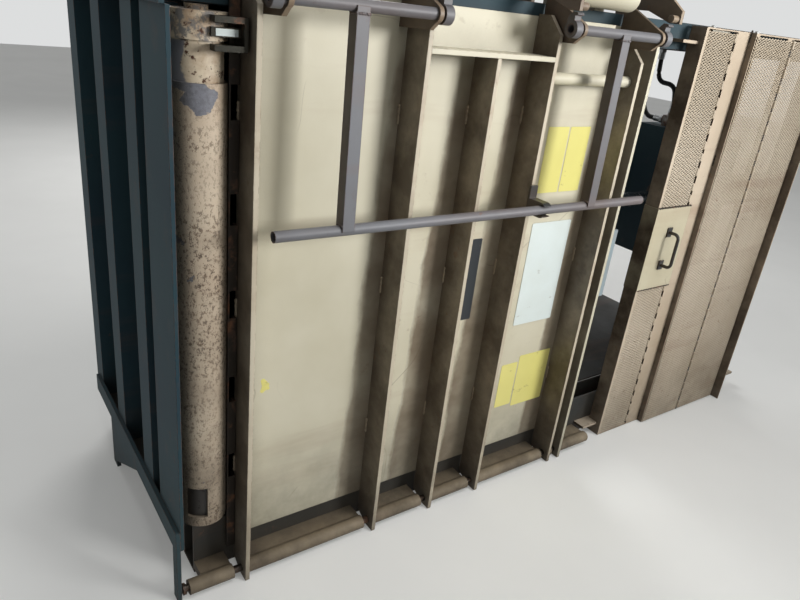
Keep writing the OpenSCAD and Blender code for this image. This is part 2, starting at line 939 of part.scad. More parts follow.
// Edges of the lands on the face of the platen, between its strap grooves
function land_low(i) = i == 0 ? platen_z : strap_z(i - 1) + groove_w / 2;
function land_high(i) = i == strap_count ? platen_z + platen_w : strap_z(i) - groove_w / 2;

// Platen: a plate, the hollow lands welded under it, and the socket for the piston rod
module platen() {
    top = platen_low + groove_d + platen_t;
    color([0.20, 0.30, 0.33]) place()
        difference() {
            union() {
                box_at(platen_low + groove_d, platen_y, platen_z, platen_t, platen_d, platen_w);
                for (i = [0 : strap_count])
                    box_at(platen_low, platen_y, land_low(i), groove_d, platen_d, land_high(i) - land_low(i));
                rod_x(top, press_y, center_z, rod_eye - top + 30, rod_d + 50);
            }
            for (i = [0 : strap_count])
                box_at(platen_low + face_wall, platen_y + face_wall, land_low(i) + face_wall,
                    groove_d - face_wall, platen_d - 2 * face_wall,
                    land_high(i) - land_low(i) - 2 * face_wall);
            rod_x(rod_eye - seat, press_y, center_z, 60, rod_d + 2 * seat);
        }
}

platen_rib_t = 12;
weld_gap = 0.2;

// Grid of ribs on the platen: bars along its width, and short ribs that fit between them
module platen_ribs() {
    x0 = platen_low + groove_d + platen_t;
    h = platen_h - groove_d - platen_t;
    step = (platen_d - platen_rib_t) / 3;
    bay = step - platen_rib_t - 2 * weld_gap;
    color([0.22, 0.31, 0.33]) place() {
        for (i = [0 : 3]) box_at(x0, platen_y + i * step, platen_z, h, platen_rib_t, platen_w);
        for (i = [0 : 2])
            for (z = [platen_z, center_z - 110, center_z + 98, platen_z + platen_w - platen_rib_t])
                box_at(x0, platen_y + i * step + platen_rib_t + weld_gap, z, h, bay, platen_rib_t);
    }
}

module platen_shoes() {
    y0 = post_y + 130;
    thick = platen_gap - 1;
    color([0.86, 0.86, 0.82]) place()
        for (y = [y0, rear_y - 120])
            for (z = [wall_z + 1, machine_w - wall_z - platen_gap])
                box_at(platen_low + 60, y, z, platen_h - 60, 60, thick);
}

// Ejector

module ejector_shaft() {
    color([0.62, 0.62, 0.62]) place()
        difference() {
            union() {
                rod_z(sleeve_x, sleeve_y, sleeve_low, collar_low - sleeve_low, 2 * tube_r);
                rod_z(sleeve_x, sleeve_y, collar_low, collar_high - collar_low, sleeve_d);
                rod_z(sleeve_x, sleeve_y, collar_high, 10, 48);
            }
            rod_z(sleeve_x, sleeve_y, sleeve_low - 1, collar_high - sleeve_low - 20, 2 * tube_r - 20);
        }
}

// Clevis box on the collar, with the block that takes the pull chain
module ejector_clevis() {
    z0 = collar_low - 16;
    cheek_t = 12;
    gap_z = 66;
    x1 = strap_bar_x + strap_bar_w - 4;
    x0 = sleeve_x + 5;
    y0 = 24;
    depth = post_y - 26 - y0;
    color([0.45, 0.43, 0.40]) place()
        difference() {
            union() {
                for (z = [z0, z0 + gap_z - cheek_t]) box_at(x0, y0, z, x1 - x0, depth, cheek_t);
                box_at(x1 - 8, y0, z0, 8, depth, gap_z);
                box_at(x0, y0 + 20, z0 + 26, x1 - x0, 30, 18);
            }
            rod_z(sleeve_x, sleeve_y, z0 - 1, gap_z + 2, sleeve_d + 2 * seat);
        }
}

module ejector_plate() {
    x0 = floor_top + 2;
    y0 = post_y + 100;
    z0 = wall_z + 24;
    width = chamber_w - 48;
    arm_x0 = x0 - 14;
    color([0.30, 0.36, 0.38]) place()
        difference() {
            union() {
                box_at(x0, y0, z0, ejector_t, inner_rear - 66 - y0, width);
                for (z = eject_arm_z)
                    box_at(arm_x0, sleeve_y, z - eject_arm_w / 2,
                        14 + ejector_t, y0 + 24 - sleeve_y, eject_arm_w);
            }
            rod_z(sleeve_x, sleeve_y, z0 - 1, width + 2, 2 * (tube_r + seat));
        }
}

// Power unit behind the upper frame

shelf_x = rear_wall_h + 480;
tank_z = center_z - tank_w / 2;

module oil_tank() {
    color([0.20, 0.32, 0.35]) place() {
        box_at(shelf_x - 10, inner_rear + 10, tank_z - 30,
            10, tank_y + tank_d - inner_rear - 10, tank_w + 60);
        difference() {
            box_at(shelf_x, tank_y, tank_z, tank_h, tank_d, tank_w);
            box_at(shelf_x + 4, tank_y + 4, tank_z + 4, tank_h - 8, tank_d - 8, tank_w - 8);
        }
        rod_x(shelf_x + tank_h, tank_y + 60, tank_z + 60, 40, 60);
    }
}

unit_y = tank_y + tank_d / 2;
unit_z = center_z + 90;

module pump() {
    x0 = shelf_x + tank_h;
    color([0.25, 0.26, 0.27]) place() {
        rod_x(x0, unit_y, unit_z, 20, 150);
        rod_x(x0 + 20, unit_y, unit_z, 70, 110);
    }
}

module motor() {
    x0 = shelf_x + tank_h + 90;
    color([0.35, 0.42, 0.45]) place() {
        rod_x(x0, unit_y, unit_z, 14, motor_d + 20);
        rod_x(x0 + 14, unit_y, unit_z, 180, motor_d);
        rod_x(x0 + 194, unit_y, unit_z, 40, motor_d - 20);
        box_at(x0 + 40, unit_y - 50, unit_z + motor_d / 2 - 12, 90, 100, 50);
    }
}

valve_z = center_z - 170;
tee_size = 50;
tee_x = head_low + 70;
tee_y = press_y + 115;
tee_z = center_z + head_box_w / 2;
stub_l = 14;
stub_d = 32;
port_up_y = tee_y + 130;
port_back_y = tee_y + 180;
port_z = machine_w - wall_z - stub_l;

// Tee on the end of the head box, and the two ports on the left wall that its hoses lead to
module head_fitting() {
    box_at(tee_x - tee_size / 2, tee_y - tee_size / 2, tee_z, tee_size, tee_size, tee_size);
    rod_z(tee_x, tee_y, tee_z + tee_size, stub_l, stub_d);
    translate([tee_x, tee_y + tee_size / 2, tee_z + tee_size / 2]) rotate([-90, 0, 0])
        cylinder(d = stub_d, h = stub_l);
    for (y = [port_up_y, port_back_y]) rod_z(tee_x, y, port_z, stub_l, stub_d);
}

module valve_block() {
    x0 = shelf_x + tank_h;
    color([0.55, 0.56, 0.57]) place() {
        box_at(x0, unit_y - 50, valve_z, 80, 100, 120);
        rod_z(x0 + 45, unit_y, valve_z + 120, 70, 46);
        for (y = [unit_y - 28, unit_y + 28]) rod_x(x0 + 80, y, valve_z + 40, 20, 26);
        head_fitting();
    }
}

// Hydraulic hoses, swept along points chosen by hand

hose_d = 22;
hose_sides = 8;

function unit(v) = v / norm(v);
function hose_dir(p, i) = unit(p[min(i + 1, len(p) - 1)] - p[max(i - 1, 0)]);
function ring(p, d, r) =
    let (u = unit(cross(d, [0.1, 0.2, 1])), w = cross(d, u))
    [for (k = [0 : hose_sides - 1]) p + r * (u * cos(360 * k / hose_sides) + w * sin(360 * k / hose_sides))];
// Smooth points on a chain of control points, by a quadratic curve at each inner point
function smooth_path(p, n) = [
    p[0],
    for (i = [1 : len(p) - 2]) let (a = (p[i - 1] + p[i]) / 2, b = (p[i] + p[i + 1]) / 2)
        for (k = [0 : n - 1]) let (t = k / n) (1 - t) * (1 - t) * a + 2 * t * (1 - t) * p[i] + t * t * b,
    p[len(p) - 1]
];

module hose(points) {
    path = smooth_path(points, 6);
    rings = [for (i = [0 : len(path) - 1]) each ring(path[i], hose_dir(path, i), hose_d / 2)];
    n = hose_sides;
    last = len(path) - 1;
    polyhedron(
        points = rings,
        faces = concat(
            [[for (k = [0 : n - 1]) k]],
            [for (i = [0 : last - 1]) for (k = [0 : n - 1])
                [i * n + k, (i + 1) * n + k, (i + 1) * n + (k + 1) % n, i * n + (k + 1) % n]],
            [[for (k = [n - 1 : -1 : 0]) last * n + k]]
        )
    );
}

valve_port_x = shelf_x + tank_h + 100;
port_y = press_y + cylinder_d / 2 + 22 + seat;
rod_port_x = head_low + head_h + 70;
cap_port_x = head_low - 30 + cylinder_l - 50;

module hoses() {
    z = valve_z + 40;
    color([0.06, 0.06, 0.06]) place() {
        hose([
            [valve_port_x, unit_y - 28, z], [valve_port_x + 60, unit_y - 28, z],
            [valve_port_x + 170, unit_y - 120, z + 30], [rod_port_x + 20, port_y + 200, center_z - 10],
            [rod_port_x, port_y + 110, center_z], [rod_port_x, port_y + 40, center_z],
            [rod_port_x, port_y, center_z]
        ]);
        hose([
            [valve_port_x, unit_y + 28, z], [valve_port_x + 100, unit_y + 28, z],
            [valve_port_x + 420, unit_y - 20, z + 40], [cap_port_x - 120, port_y + 330, center_z - 20],
            [cap_port_x, port_y + 150, center_z], [cap_port_x, port_y + 40, center_z],
            [cap_port_x, port_y, center_z]
        ]);
        hose([
            [tee_x, tee_y, tee_z + tee_size + stub_l + seat], [tee_x, tee_y, tee_z + 110],
            [tee_x, tee_y + 20, tee_z + 190], [tee_x, port_up_y - 10, port_z - 150],
            [tee_x, port_up_y, port_z - 50], [tee_x, port_up_y, port_z - seat]
        ]);
        hose([
            [tee_x, tee_y + tee_size / 2 + stub_l + seat, tee_z + tee_size / 2],
            [tee_x, tee_y + 80, tee_z + 25],
            [tee_x, port_back_y - 40, tee_z + 25], [tee_x, port_back_y + 10, tee_z + 130],
            [tee_x, port_back_y, port_z - 60], [tee_x, port_back_y, port_z - seat]
        ]);
    }
}

base_beams();
floor_plate();
foot_plates();
front_sill();
side_wall_right();
side_wall_left();
rear_wall();
post_right_front();
post_right_rear();
post_left_front();
post_left_rear();
side_stiffeners();
rear_stiffeners();
strap_bar();
sill_sleeve();
hinge_barrels();
hinge_pin();
keeper_lugs();
keeper_tube();
gate_rails();
door_skin();
door_rib_1();
door_rib_2();
door_rib_3();
door_rib_4();
door_rib_5();
door_edge_plate();
door_shelf();
door_cross_pipe();
bearing_plates();
door_end_bar();
door_edge_strip();
bar_keeper();
lock_shaft_lower();
lock_shaft_upper();
lever_arms();
grip_bar();
lock_cams();
gate_lower_frame();
gate_upper_frame();
gate_mesh_lower();
gate_mesh_middle();
gate_mesh_upper();
gate_handle_plate();
gate_handle();
gate_shoes();
head_beam();
cylinder_node();  // cylinder
piston_rod();
platen();
platen_ribs();
platen_shoes();
ejector_shaft();
ejector_clevis();
ejector_plate();
oil_tank();
pump();
motor();
valve_block();
hoses();
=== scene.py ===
# %% [markdown]
# A vertical recycling baler lies on its right side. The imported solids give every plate, tube and
# hinge its size and place. This script loads them, paints them as old workshop steel, and adds
# what is too fine for the solids: the fine strands of the gate's mesh, welds, bolts and fittings.

import math

import bmesh
import bpy
from mathutils import Matrix, Vector


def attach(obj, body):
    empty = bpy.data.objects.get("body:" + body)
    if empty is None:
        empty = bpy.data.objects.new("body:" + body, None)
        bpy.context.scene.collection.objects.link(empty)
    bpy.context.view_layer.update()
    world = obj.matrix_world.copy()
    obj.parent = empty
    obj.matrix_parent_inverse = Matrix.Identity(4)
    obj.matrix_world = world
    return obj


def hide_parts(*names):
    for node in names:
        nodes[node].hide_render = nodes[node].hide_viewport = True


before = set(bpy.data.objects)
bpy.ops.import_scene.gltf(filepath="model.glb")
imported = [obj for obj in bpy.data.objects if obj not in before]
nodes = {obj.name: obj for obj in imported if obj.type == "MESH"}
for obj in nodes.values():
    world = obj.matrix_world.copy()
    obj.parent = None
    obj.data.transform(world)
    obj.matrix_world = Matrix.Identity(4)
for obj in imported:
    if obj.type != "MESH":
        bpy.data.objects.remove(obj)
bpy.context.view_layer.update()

# %% [markdown]
# Most places below count from the machine itself: x up from the underside of its beams, y back
# from the front of the door ribs, z up from the ground it lies on, all in millimetres. One small
# function turns such a place into the shared frame in metres.

# %% From the machine's own measures to the shared frame
CENTER_X, CENTER_Y = 1779.0, 602.5


def at(x, y, z):
    return Vector(((x - CENTER_X) / 1000, (y - CENTER_Y) / 1000, z / 1000))


def mm(length):
    return length / 1000


print("the machine's own zero lies at:", tuple(round(v, 3) for v in at(0, 0, 0)))

# %% [markdown]
# The camera stands at the base end of the machine, at eye height, and looks along the door
# towards the gate. Its place and its three axes were solved from the straight edges of the ribs,
# so a rib in the render runs through nearly the same points as in the photograph.

# %% Camera
EYE = at(-406.1, -1340.75, 1550.0)
SENSOR_WIDTH, FOCAL_LENGTH = 36.0, 30.265
camera_data = bpy.data.cameras.new("camera")
camera = bpy.data.objects.new("camera", camera_data)
bpy.context.collection.objects.link(camera)
camera_right = Vector((0.82125, -0.56031, 0.10767))
camera_up = Vector((0.14590, 0.38866, 0.90976))
camera_back = Vector((-0.55159, -0.73143, 0.40094))
camera_axes = Matrix((camera_right, camera_up, camera_back)).transposed()
camera.matrix_world = Matrix.Translation(EYE) @ camera_axes.to_4x4()
camera_data.sensor_width = SENSOR_WIDTH
camera_data.lens = FOCAL_LENGTH
camera_data.clip_start = 0.05
camera_data.clip_end = 60.0
bpy.context.scene.camera = camera
print("eye height:", round(EYE.z, 3), "m, lens:", FOCAL_LENGTH, "mm")

# %% [markdown]
# Every paint here is built from the same few ideas: a base coat that has faded in clouds, dust
# and painted shade in the inner corners, rust in long runs and in spots, chips along sharp
# edges, splashed dirt and painted shade near the ground, a brown painted shade on faces turned
# from the key lamp, and painted shadows of the ribs. Small helpers keep each paint readable.

# %% Helpers for materials
COLOUR_A, COLOUR_B, COLOUR_OUT = 6, 7, 2  # where the Mix node keeps its colour sockets


def srgb(r, g, b):
    """Screen colour from 0 to 255 as the linear colour that a shader wants."""
    def linear(v):
        v = v / 255
        return v / 12.92 if v <= 0.04045 else ((v + 0.055) / 1.055) ** 2.4

    return (linear(r), linear(g), linear(b), 1.0)


def add(tree, kind, **settings):
    """A node with its settings; a name that is one of its sockets is put there or linked."""
    made = tree.nodes.new(kind)
    for key, value in settings.items():
        if hasattr(made, key) and key not in made.inputs:
            setattr(made, key, value)
        else:
            put(tree, made, key, value)
    return made


def put(tree, made, key, value):
    """Link a value that is a socket; write any other one on the node's own socket."""
    socket = made.inputs[key]
    if isinstance(value, bpy.types.NodeSocket):
        tree.links.new(value, socket)
    else:
        socket.default_value = value


def maths(tree, operation, a, b=0.0, clamp=False):
    made = tree.nodes.new("ShaderNodeMath")
    made.operation = operation
    made.use_clamp = clamp
    put(tree, made, 0, a)
    put(tree, made, 1, b)
    return made.outputs[0]


def span(tree, value, low, high, out_low=0.0, out_high=1.0):
    """A value between low and high, spread evenly from out_low to out_high and held there."""
    made = tree.nodes.new("ShaderNodeMapRange")
    made.clamp = True
    put(tree, made, "Value", value)
    ends = {"From Min": low, "From Max": high, "To Min": out_low, "To Max": out_high}
    for key, number in ends.items():
        made.inputs[key].default_value = number
    return made.outputs[0]


def noise(tree, place, scale, detail=4.0, rough=0.55, stretch=None, shift=(0.0, 0.0, 0.0)):
    if stretch is not None or any(shift):
        moved = tree.nodes.new("ShaderNodeMapping")
        tree.links.new(place, moved.inputs["Vector"])
        moved.inputs["Scale"].default_value = stretch or (1.0, 1.0, 1.0)
        moved.inputs["Location"].default_value = shift
        place = moved.outputs[0]
    made = tree.nodes.new("ShaderNodeTexNoise")
    tree.links.new(place, made.inputs["Vector"])
    made.inputs["Scale"].default_value = scale
    made.inputs["Detail"].default_value = detail
    made.inputs["Roughness"].default_value = rough
    return made.outputs["Fac"]


def mixed(tree, share, a, b):
    """Colour a where the share is 0 and colour b where it is 1."""
    made = tree.nodes.new("ShaderNodeMix")
    made.data_type = "RGBA"
    put(tree, made, 0, share)
    put(tree, made, COLOUR_A, a)
    put(tree, made, COLOUR_B, b)
    return made.outputs[COLOUR_OUT]


def start_material(name):
    made = bpy.data.materials.new(name)
    made.use_nodes = True
    tree = made.node_tree
    shader = tree.nodes["Principled BSDF"]
    place = tree.nodes.new("ShaderNodeTexCoord").outputs["Object"]
    return made, tree, shader, place


def along_axis(tree, vector, name):
    """The X, Y or Z of a place or of a normal."""
    split = tree.nodes.new("ShaderNodeSeparateXYZ")
    tree.links.new(vector, split.inputs[0])
    return split.outputs[name]


def give_relief(tree, shader, height, strength, depth=0.001):
    """Bump from a height of 0 to 1; depth is its real size in metres."""
    made = add(tree, "ShaderNodeBump", Strength=strength, Distance=depth, Height=height)
    tree.links.new(made.outputs[0], shader.inputs["Normal"])
    return made


print("mid grey in linear light:", round(srgb(128, 128, 128)[0], 3))

# %% [markdown]
# Sharp edges lose their paint first. The Bevel node gives a normal that is rounded near an edge;
# where it leans away from the true normal there is an edge, and noise breaks that line into
# chips. The Ambient Occlusion node finds inner corners in the same way; the paint is darkened
# there, as dust and as painted shade.

# %% Masks for edges and corners
FLAT, SHARP = 0.995, 0.80  # how far the rounded normal still agrees with the true one
OPEN, HIDDEN = 0.95, 0.35  # the share of open air round a point


def edge_mask(tree, place, rounded, chips):
    flat = tree.nodes.new("ShaderNodeNewGeometry").outputs["Normal"]
    lean = tree.nodes.new("ShaderNodeVectorMath")
    lean.operation = "DOT_PRODUCT"
    tree.links.new(rounded, lean.inputs[0])
    tree.links.new(flat, lean.inputs[1])
    near = span(tree, lean.outputs["Value"], FLAT, SHARP)
    flaky = noise(tree, place, 38.0, 4.0, 0.7)
    broken = span(tree, flaky, 0.62 - 0.25 * chips, 0.70 - 0.2 * chips)
    return maths(tree, "MULTIPLY", near, broken, clamp=True)


# Inner corners: the paints darken there, as dust and as painted shade.
def corner_mask(tree, distance):
    made = add(tree, "ShaderNodeAmbientOcclusion", samples=3, Distance=distance)
    return span(tree, made.outputs["AO"], OPEN, HIDDEN)


print("an edge is bare from an agreement of", SHARP, "and painted from", FLAT)

# %% [markdown]
# Dirt knows where down is. The machine stood upright for years and lies on its side now.
# Splashed dirt fades with height above today's ground, and near the ground it is dark enough to
# be painted shade as well. Faces towards the base end, which looked down while it stood, get a
# brown painted shade, and painted shadows of four of the five ribs lie on the skin along their
# base side.

# %% Masks for splashes, painted shade and scratches
# Painted shadows of the ribs on the skin: where each rib stands, and how wide its shadow is.
RIB_SHADOWS = ((606.0, 52.0), (831.0, 80.0), (1037.0, 80.0), (1404.0, 52.0))  # rib, width in mm
SHADOW_FADE = 0.016  # metres over which a band ends
MID_HEIGHT = 0.8  # metres; below it the bands are wider, above it narrower
BAND_TOP, BAND_FULL = 1.45, 1.40


def height_mask(tree, place, low, high):
    """1 at the lower height, 0 at the upper one, both in metres above the ground."""
    return span(tree, along_axis(tree, place, "Z"), high, low)


# Darker towards the ground, in clouds of noise.
def darker_towards_ground(tree, place, height):
    cloud = span(tree, noise(tree, place, 7.0, 5.0, 0.65), 0.30, 0.72, 0.25, 1.0)
    return maths(tree, "MULTIPLY", height_mask(tree, place, 0.0, height), cloud, clamp=True)


def flank_shade_mask(tree):
    """1 on faces towards the base end, which looked down while it stood: painted shade."""
    flat = tree.nodes.new("ShaderNodeNewGeometry").outputs["Normal"]
    return span(tree, along_axis(tree, flat, "X"), -0.35, -0.85)


def rib_shadow_mask(tree, place):
    """Painted shadow: a ragged brown band on the skin along the base side of each listed rib."""
    x, z = along_axis(tree, place, "X"), along_axis(tree, place, "Z")
    wander = noise(tree, place, 9.0, 5.0, 0.7, stretch=(1.0, 1.0, 0.35), shift=(2.4, 0.6, 1.9))
    wander = maths(tree, "MULTIPLY", maths(tree, "SUBTRACT", wander, 0.5), 0.06)
    lower = maths(tree, "MULTIPLY", maths(tree, "SUBTRACT", z, MID_HEIGHT), -0.05)
    ragged = maths(tree, "ADD", maths(tree, "ADD", x, wander), lower)
    total = 0.0
    for rib_x, wide in RIB_SHADOWS:
        edge = at(rib_x, 0.0, 0.0).x
        inside = span(tree, ragged, edge - mm(wide) - SHADOW_FADE, edge - mm(wide))
        before_rib = span(tree, x, edge, edge - 0.001)
        total = maths(tree, "ADD", total, maths(tree, "MULTIPLY", inside, before_rib))
    cloud = noise(tree, place, 4.0, 4.0, 0.6, shift=(0.2, 0.8, 6.1))
    cloud = span(tree, cloud, 0.30, 0.62, 0.45, 1.0)
    cloud = maths(tree, "MULTIPLY", cloud, span(tree, z, BAND_TOP, BAND_FULL))
    return maths(tree, "MULTIPLY", total, cloud, clamp=True)


def scratch_lines(tree, place):
    """Thin curved lines: the places where a slow noise passes through one value."""
    field = noise(tree, place, 2.6, 1.0, 0.4, shift=(0.7, 2.1, 1.4))
    off = maths(tree, "ABSOLUTE", maths(tree, "SUBTRACT", field, 0.52))
    broken = span(tree, noise(tree, place, 4.0, 2.0), 0.50, 0.62)
    return maths(tree, "MULTIPLY", span(tree, off, 0.0016, 0.0004), broken)


print("ribs with a film band:", len(RIB_SHADOWS))

# %% [markdown]
# Paint on old plate is never one colour. This function is the recipe for most painted steel on the
# machine: each call sets the coat, and how much dust, rust, chipping, dirt and painted shade lies
# on it. Rust runs are noise stretched along X, because the machine has stood upright for years.
# Faces that looked down then, towards the base end, get a brown painted shade.

# %% Painted steel
EDGE_RADIUS = 0.003
CORNER_REACH = 0.08
SPLASH_SHADE_HEIGHT = 0.42
RUST_DARK = srgb(78, 48, 32)
RUST_LIGHT = srgb(132, 86, 56)
# Dirt and dust; where they darken inner corners and the ground side, painted shade as well.
DIRT_AND_SHADE = srgb(62, 55, 45)
DUST_AND_SHADE = srgb(120, 108, 88)
# Brown painted shade for faces towards the base end.
FLANK_SHADE = srgb(66, 54, 42)
# Painted shadow of the ribs on the door skin.
BAND_SHADE = srgb(98, 80, 60)


def rust_tone(tree, place, scale, detail):
    """Two browns, mixed in fine grains."""
    grain = span(tree, noise(tree, place, scale, detail), 0.35, 0.65)
    return mixed(tree, grain, RUST_DARK, RUST_LIGHT)


def laid_over(tree, colour, mask, strength, overlay):
    """A colour with a second one laid over it, as strong as the mask times the strength."""
    return mixed(tree, maths(tree, "MULTIPLY", mask, strength), colour, overlay)


def rust_spots(tree, place, rust):
    spots = span(tree, noise(tree, place, 26.0, 6.0, 0.72), 0.60, 0.66)
    area = noise(tree, place, 3.1, 2.0, 0.5, shift=(3.7, 1.3, 0.4))
    spots = maths(tree, "MULTIPLY", spots, span(tree, area, 0.60 - 0.28 * rust, 0.80))
    return maths(tree, "MULTIPLY", spots, min(1.0, 1.4 * rust), clamp=True)


def painted_steel(name, coat, faded, rust=0.4, chips=0.4, dust_and_corner_shade=0.5, splash_and_shade=0.5, runs=0.4,
                  gloss=0.5, scratches=0.0, flank_shading=0.5, shadow_bands=0.0):
    made, tree, shader, place = start_material(name)
    cloud = span(tree, noise(tree, place, 2.3, 4.0, 0.6), 0.35, 0.68)
    colour = mixed(tree, cloud, coat, faded)
    run = noise(tree, place, 9.0, 4.0, 0.6, stretch=(0.12, 1.0, 1.0))
    run = span(tree, run, 0.56, 0.74, 0.0, 0.55 * runs)
    colour = mixed(tree, run, colour, RUST_LIGHT)
    if scratches:
        colour = laid_over(tree, colour, scratch_lines(tree, place), scratches, DUST_AND_SHADE)
    # Inner corners darkened: dust, and painted shade.
    patchy = span(tree, noise(tree, place, 5.0, 3.0), 0.25, 0.7, 0.35, 1.0)
    corner = maths(tree, "MULTIPLY", corner_mask(tree, CORNER_REACH), patchy)
    colour = laid_over(tree, colour, corner, dust_and_corner_shade, DIRT_AND_SHADE)
    # Painted shade: brown on faces that look towards the base end, away from the key lamp.
    shade_cloud = noise(tree, place, 6.0, 5.0, 0.65, shift=(1.1, 4.2, 0.3))
    shade_cloud = maths(tree, "MULTIPLY", span(tree, shade_cloud, 0.28, 0.62, 0.55, 1.0), flank_shade_mask(tree))
    colour = laid_over(tree, colour, shade_cloud, flank_shading, FLANK_SHADE)
    # Painted shadows of the ribs on the skin.
    if shadow_bands:
        colour = laid_over(tree, colour, rib_shadow_mask(tree, place), shadow_bands, BAND_SHADE)
    tone = rust_tone(tree, place, 60.0, 3.0)
    spots = rust_spots(tree, place, rust)
    colour = mixed(tree, spots, colour, tone)
    rounded = add(tree, "ShaderNodeBevel", samples=4, Radius=EDGE_RADIUS).outputs[0]
    edge = edge_mask(tree, place, rounded, chips)
    colour = laid_over(tree, colour, edge, 0.85, tone)
    # Splashed dirt near the ground, dark enough to be painted shade there too.
    darkened_low = darker_towards_ground(tree, place, SPLASH_SHADE_HEIGHT)
    colour = laid_over(tree, colour, darkened_low, splash_and_shade, DIRT_AND_SHADE)
    tree.links.new(colour, shader.inputs["Base Color"])
    worn = maths(tree, "MAXIMUM", maths(tree, "MAXIMUM", spots, edge), darkened_low)
    rough = span(tree, worn, 0.0, 1.0, 1.0 - gloss, 0.92)
    tree.links.new(rough, shader.inputs["Roughness"])
    relief = give_relief(tree, shader, noise(tree, place, 160.0, 2.0, 0.5), 0.12)
    tree.links.new(rounded, relief.inputs["Normal"])
    return made


print("paint chips within", 1000 * EDGE_RADIUS, "mm of an edge; splashes reach", SPLASH_SHADE_HEIGHT, "m")

# %% [markdown]
# Now the recipe is used, once for each paint. The first two colours are the coat as it was and
# as it has faded; the numbers after them run from 0 for none to 1 for all over.

# %% The paints of this machine
CREAM, CREAM_FADED = srgb(210, 204, 182), srgb(196, 189, 164)

cream = painted_steel(
    "cream_coat", CREAM, CREAM_FADED,
    rust=0.22, runs=0.30, splash_and_shade=0.7, dust_and_corner_shade=0.7, scratches=0.5, flank_shading=0.75)
skin_coat = painted_steel(
    "skin_coat", CREAM, CREAM_FADED,
    rust=0.28, runs=0.40, splash_and_shade=0.8, dust_and_corner_shade=0.8, scratches=0.7, flank_shading=0.75, shadow_bands=0.85)
cream_rib = painted_steel(
    "rib_coat", srgb(206, 196, 174), srgb(184, 170, 146),
    rust=0.45, chips=0.7, runs=0.5, dust_and_corner_shade=0.9, splash_and_shade=0.85, flank_shading=0.9)
# A darker coat than the cream: painted shade on the bearing plates and keeper lugs, with rust.
shaded_plate_coat = painted_steel(
    "bearing_plate_coat", srgb(150, 132, 110), srgb(110, 92, 74),
    rust=0.6, chips=0.3, runs=0.6, dust_and_corner_shade=0.9, flank_shading=0.9)
bar_coat = painted_steel(
    "hinge_bar_coat", srgb(164, 148, 122), srgb(124, 108, 86),
    rust=0.7, chips=0.7, runs=0.9, splash_and_shade=1.0, dust_and_corner_shade=1.0, flank_shading=0.9)
gate_coat = painted_steel(
    "gate_coat", srgb(208, 192, 170), srgb(186, 168, 144),
    rust=0.5, chips=0.9, runs=0.6, flank_shading=0.97)
handle_coat = painted_steel(
    "handle_plate_coat", srgb(204, 198, 172), srgb(190, 180, 152),
    rust=0.6, chips=0.9, dust_and_corner_shade=0.8, flank_shading=1.0)
mesh_coat = painted_steel(
    "mesh_coat", srgb(208, 194, 172), srgb(188, 172, 148),
    rust=0.3, chips=0.0, dust_and_corner_shade=0.2, runs=0.6, flank_shading=0.3)
teal = painted_steel(
    "teal_coat", srgb(8, 42, 54), srgb(20, 54, 62),
    rust=0.3, chips=0.8, runs=0.2, splash_and_shade=0.6, dust_and_corner_shade=0.3, gloss=0.3, flank_shading=0.0)
# Painted shade: a near-black coat for the right front post and right side wall, in deep shade.
shade_painted_body = painted_steel(
    "shaded_body_coat", srgb(24, 30, 31), srgb(36, 36, 33), rust=0.5, chips=0.5, dust_and_corner_shade=0.9)
inner = painted_steel(
    "chamber_coat", srgb(60, 74, 78), srgb(44, 52, 54),
    rust=0.7, chips=1.0, dust_and_corner_shade=0.6, splash_and_shade=0.4)
lever_coat = painted_steel(
    "lever_coat", srgb(112, 113, 117), srgb(94, 90, 91),
    rust=0.5, chips=0.8, runs=0.4, splash_and_shade=0.2, gloss=0.5, flank_shading=0.85)
strip_coat = painted_steel(
    "edge_strip_coat", srgb(150, 166, 172), srgb(128, 140, 144), rust=0.3, chips=0.6)
black_coat = painted_steel(
    "black_enamel", srgb(30, 31, 32), srgb(44, 44, 43),
    rust=0.25, chips=0.6, runs=0.2, dust_and_corner_shade=0.8, gloss=0.6)
motor_coat = painted_steel(
    "motor_coat", srgb(92, 108, 116), srgb(80, 92, 98), rust=0.15, chips=0.5, dust_and_corner_shade=0.8)
print("painted steels:", sum(m.name.endswith(("coat", "enamel")) for m in bpy.data.materials))

# %% [markdown]
# The tube along the sill has lost more of its paint than anything else, because every bale is
# dragged out over it. Broad flakes show grey primer, and a second, finer noise puts brown pits
# all over. Both are thresholds of noise, so they have hard, chipped borders. One large flake has
# its own place, just under the tube's end, and a grey lip joins it there.

# %% Scraped tube
FLAKE_AT, FLAKE_RADIUS = at(79.0, 54.0, 1326.0), 0.032
LIP_FROM = 1.337
# The tube is darker towards the bottom, up to this height.
TUBE_DARK_HEIGHT = 1.35


def tube_flakes(tree, place):
    """1 where grey primer shows: the large flake, its lip, and small ones all over."""
    away = tree.nodes.new("ShaderNodeVectorMath")
    away.operation = "DISTANCE"
    tree.links.new(place, away.inputs[0])
    away.inputs[1].default_value = FLAKE_AT
    ragged = maths(tree, "SUBTRACT", noise(tree, place, 22.0, 5.0, 0.6), 0.5)
    ragged = maths(tree, "MULTIPLY", ragged, 0.07)
    away = maths(tree, "ADD", away.outputs["Value"], ragged)
    large = span(tree, away, FLAKE_RADIUS, FLAKE_RADIUS - 0.002)
    small = noise(tree, place, 8.5, 6.0, 0.62, shift=(5.2, 0.2, 3.1))
    small = span(tree, small, 0.665, 0.675)
    height = maths(tree, "ADD", along_axis(tree, place, "Z"), ragged)
    side = span(tree, along_axis(tree, place, "X"), FLAKE_AT.x, FLAKE_AT.x - 0.002)
    lip = maths(tree, "MULTIPLY", span(tree, height, LIP_FROM, LIP_FROM + 0.002), side)
    return maths(tree, "MAXIMUM", maths(tree, "MAXIMUM", large, small), lip)


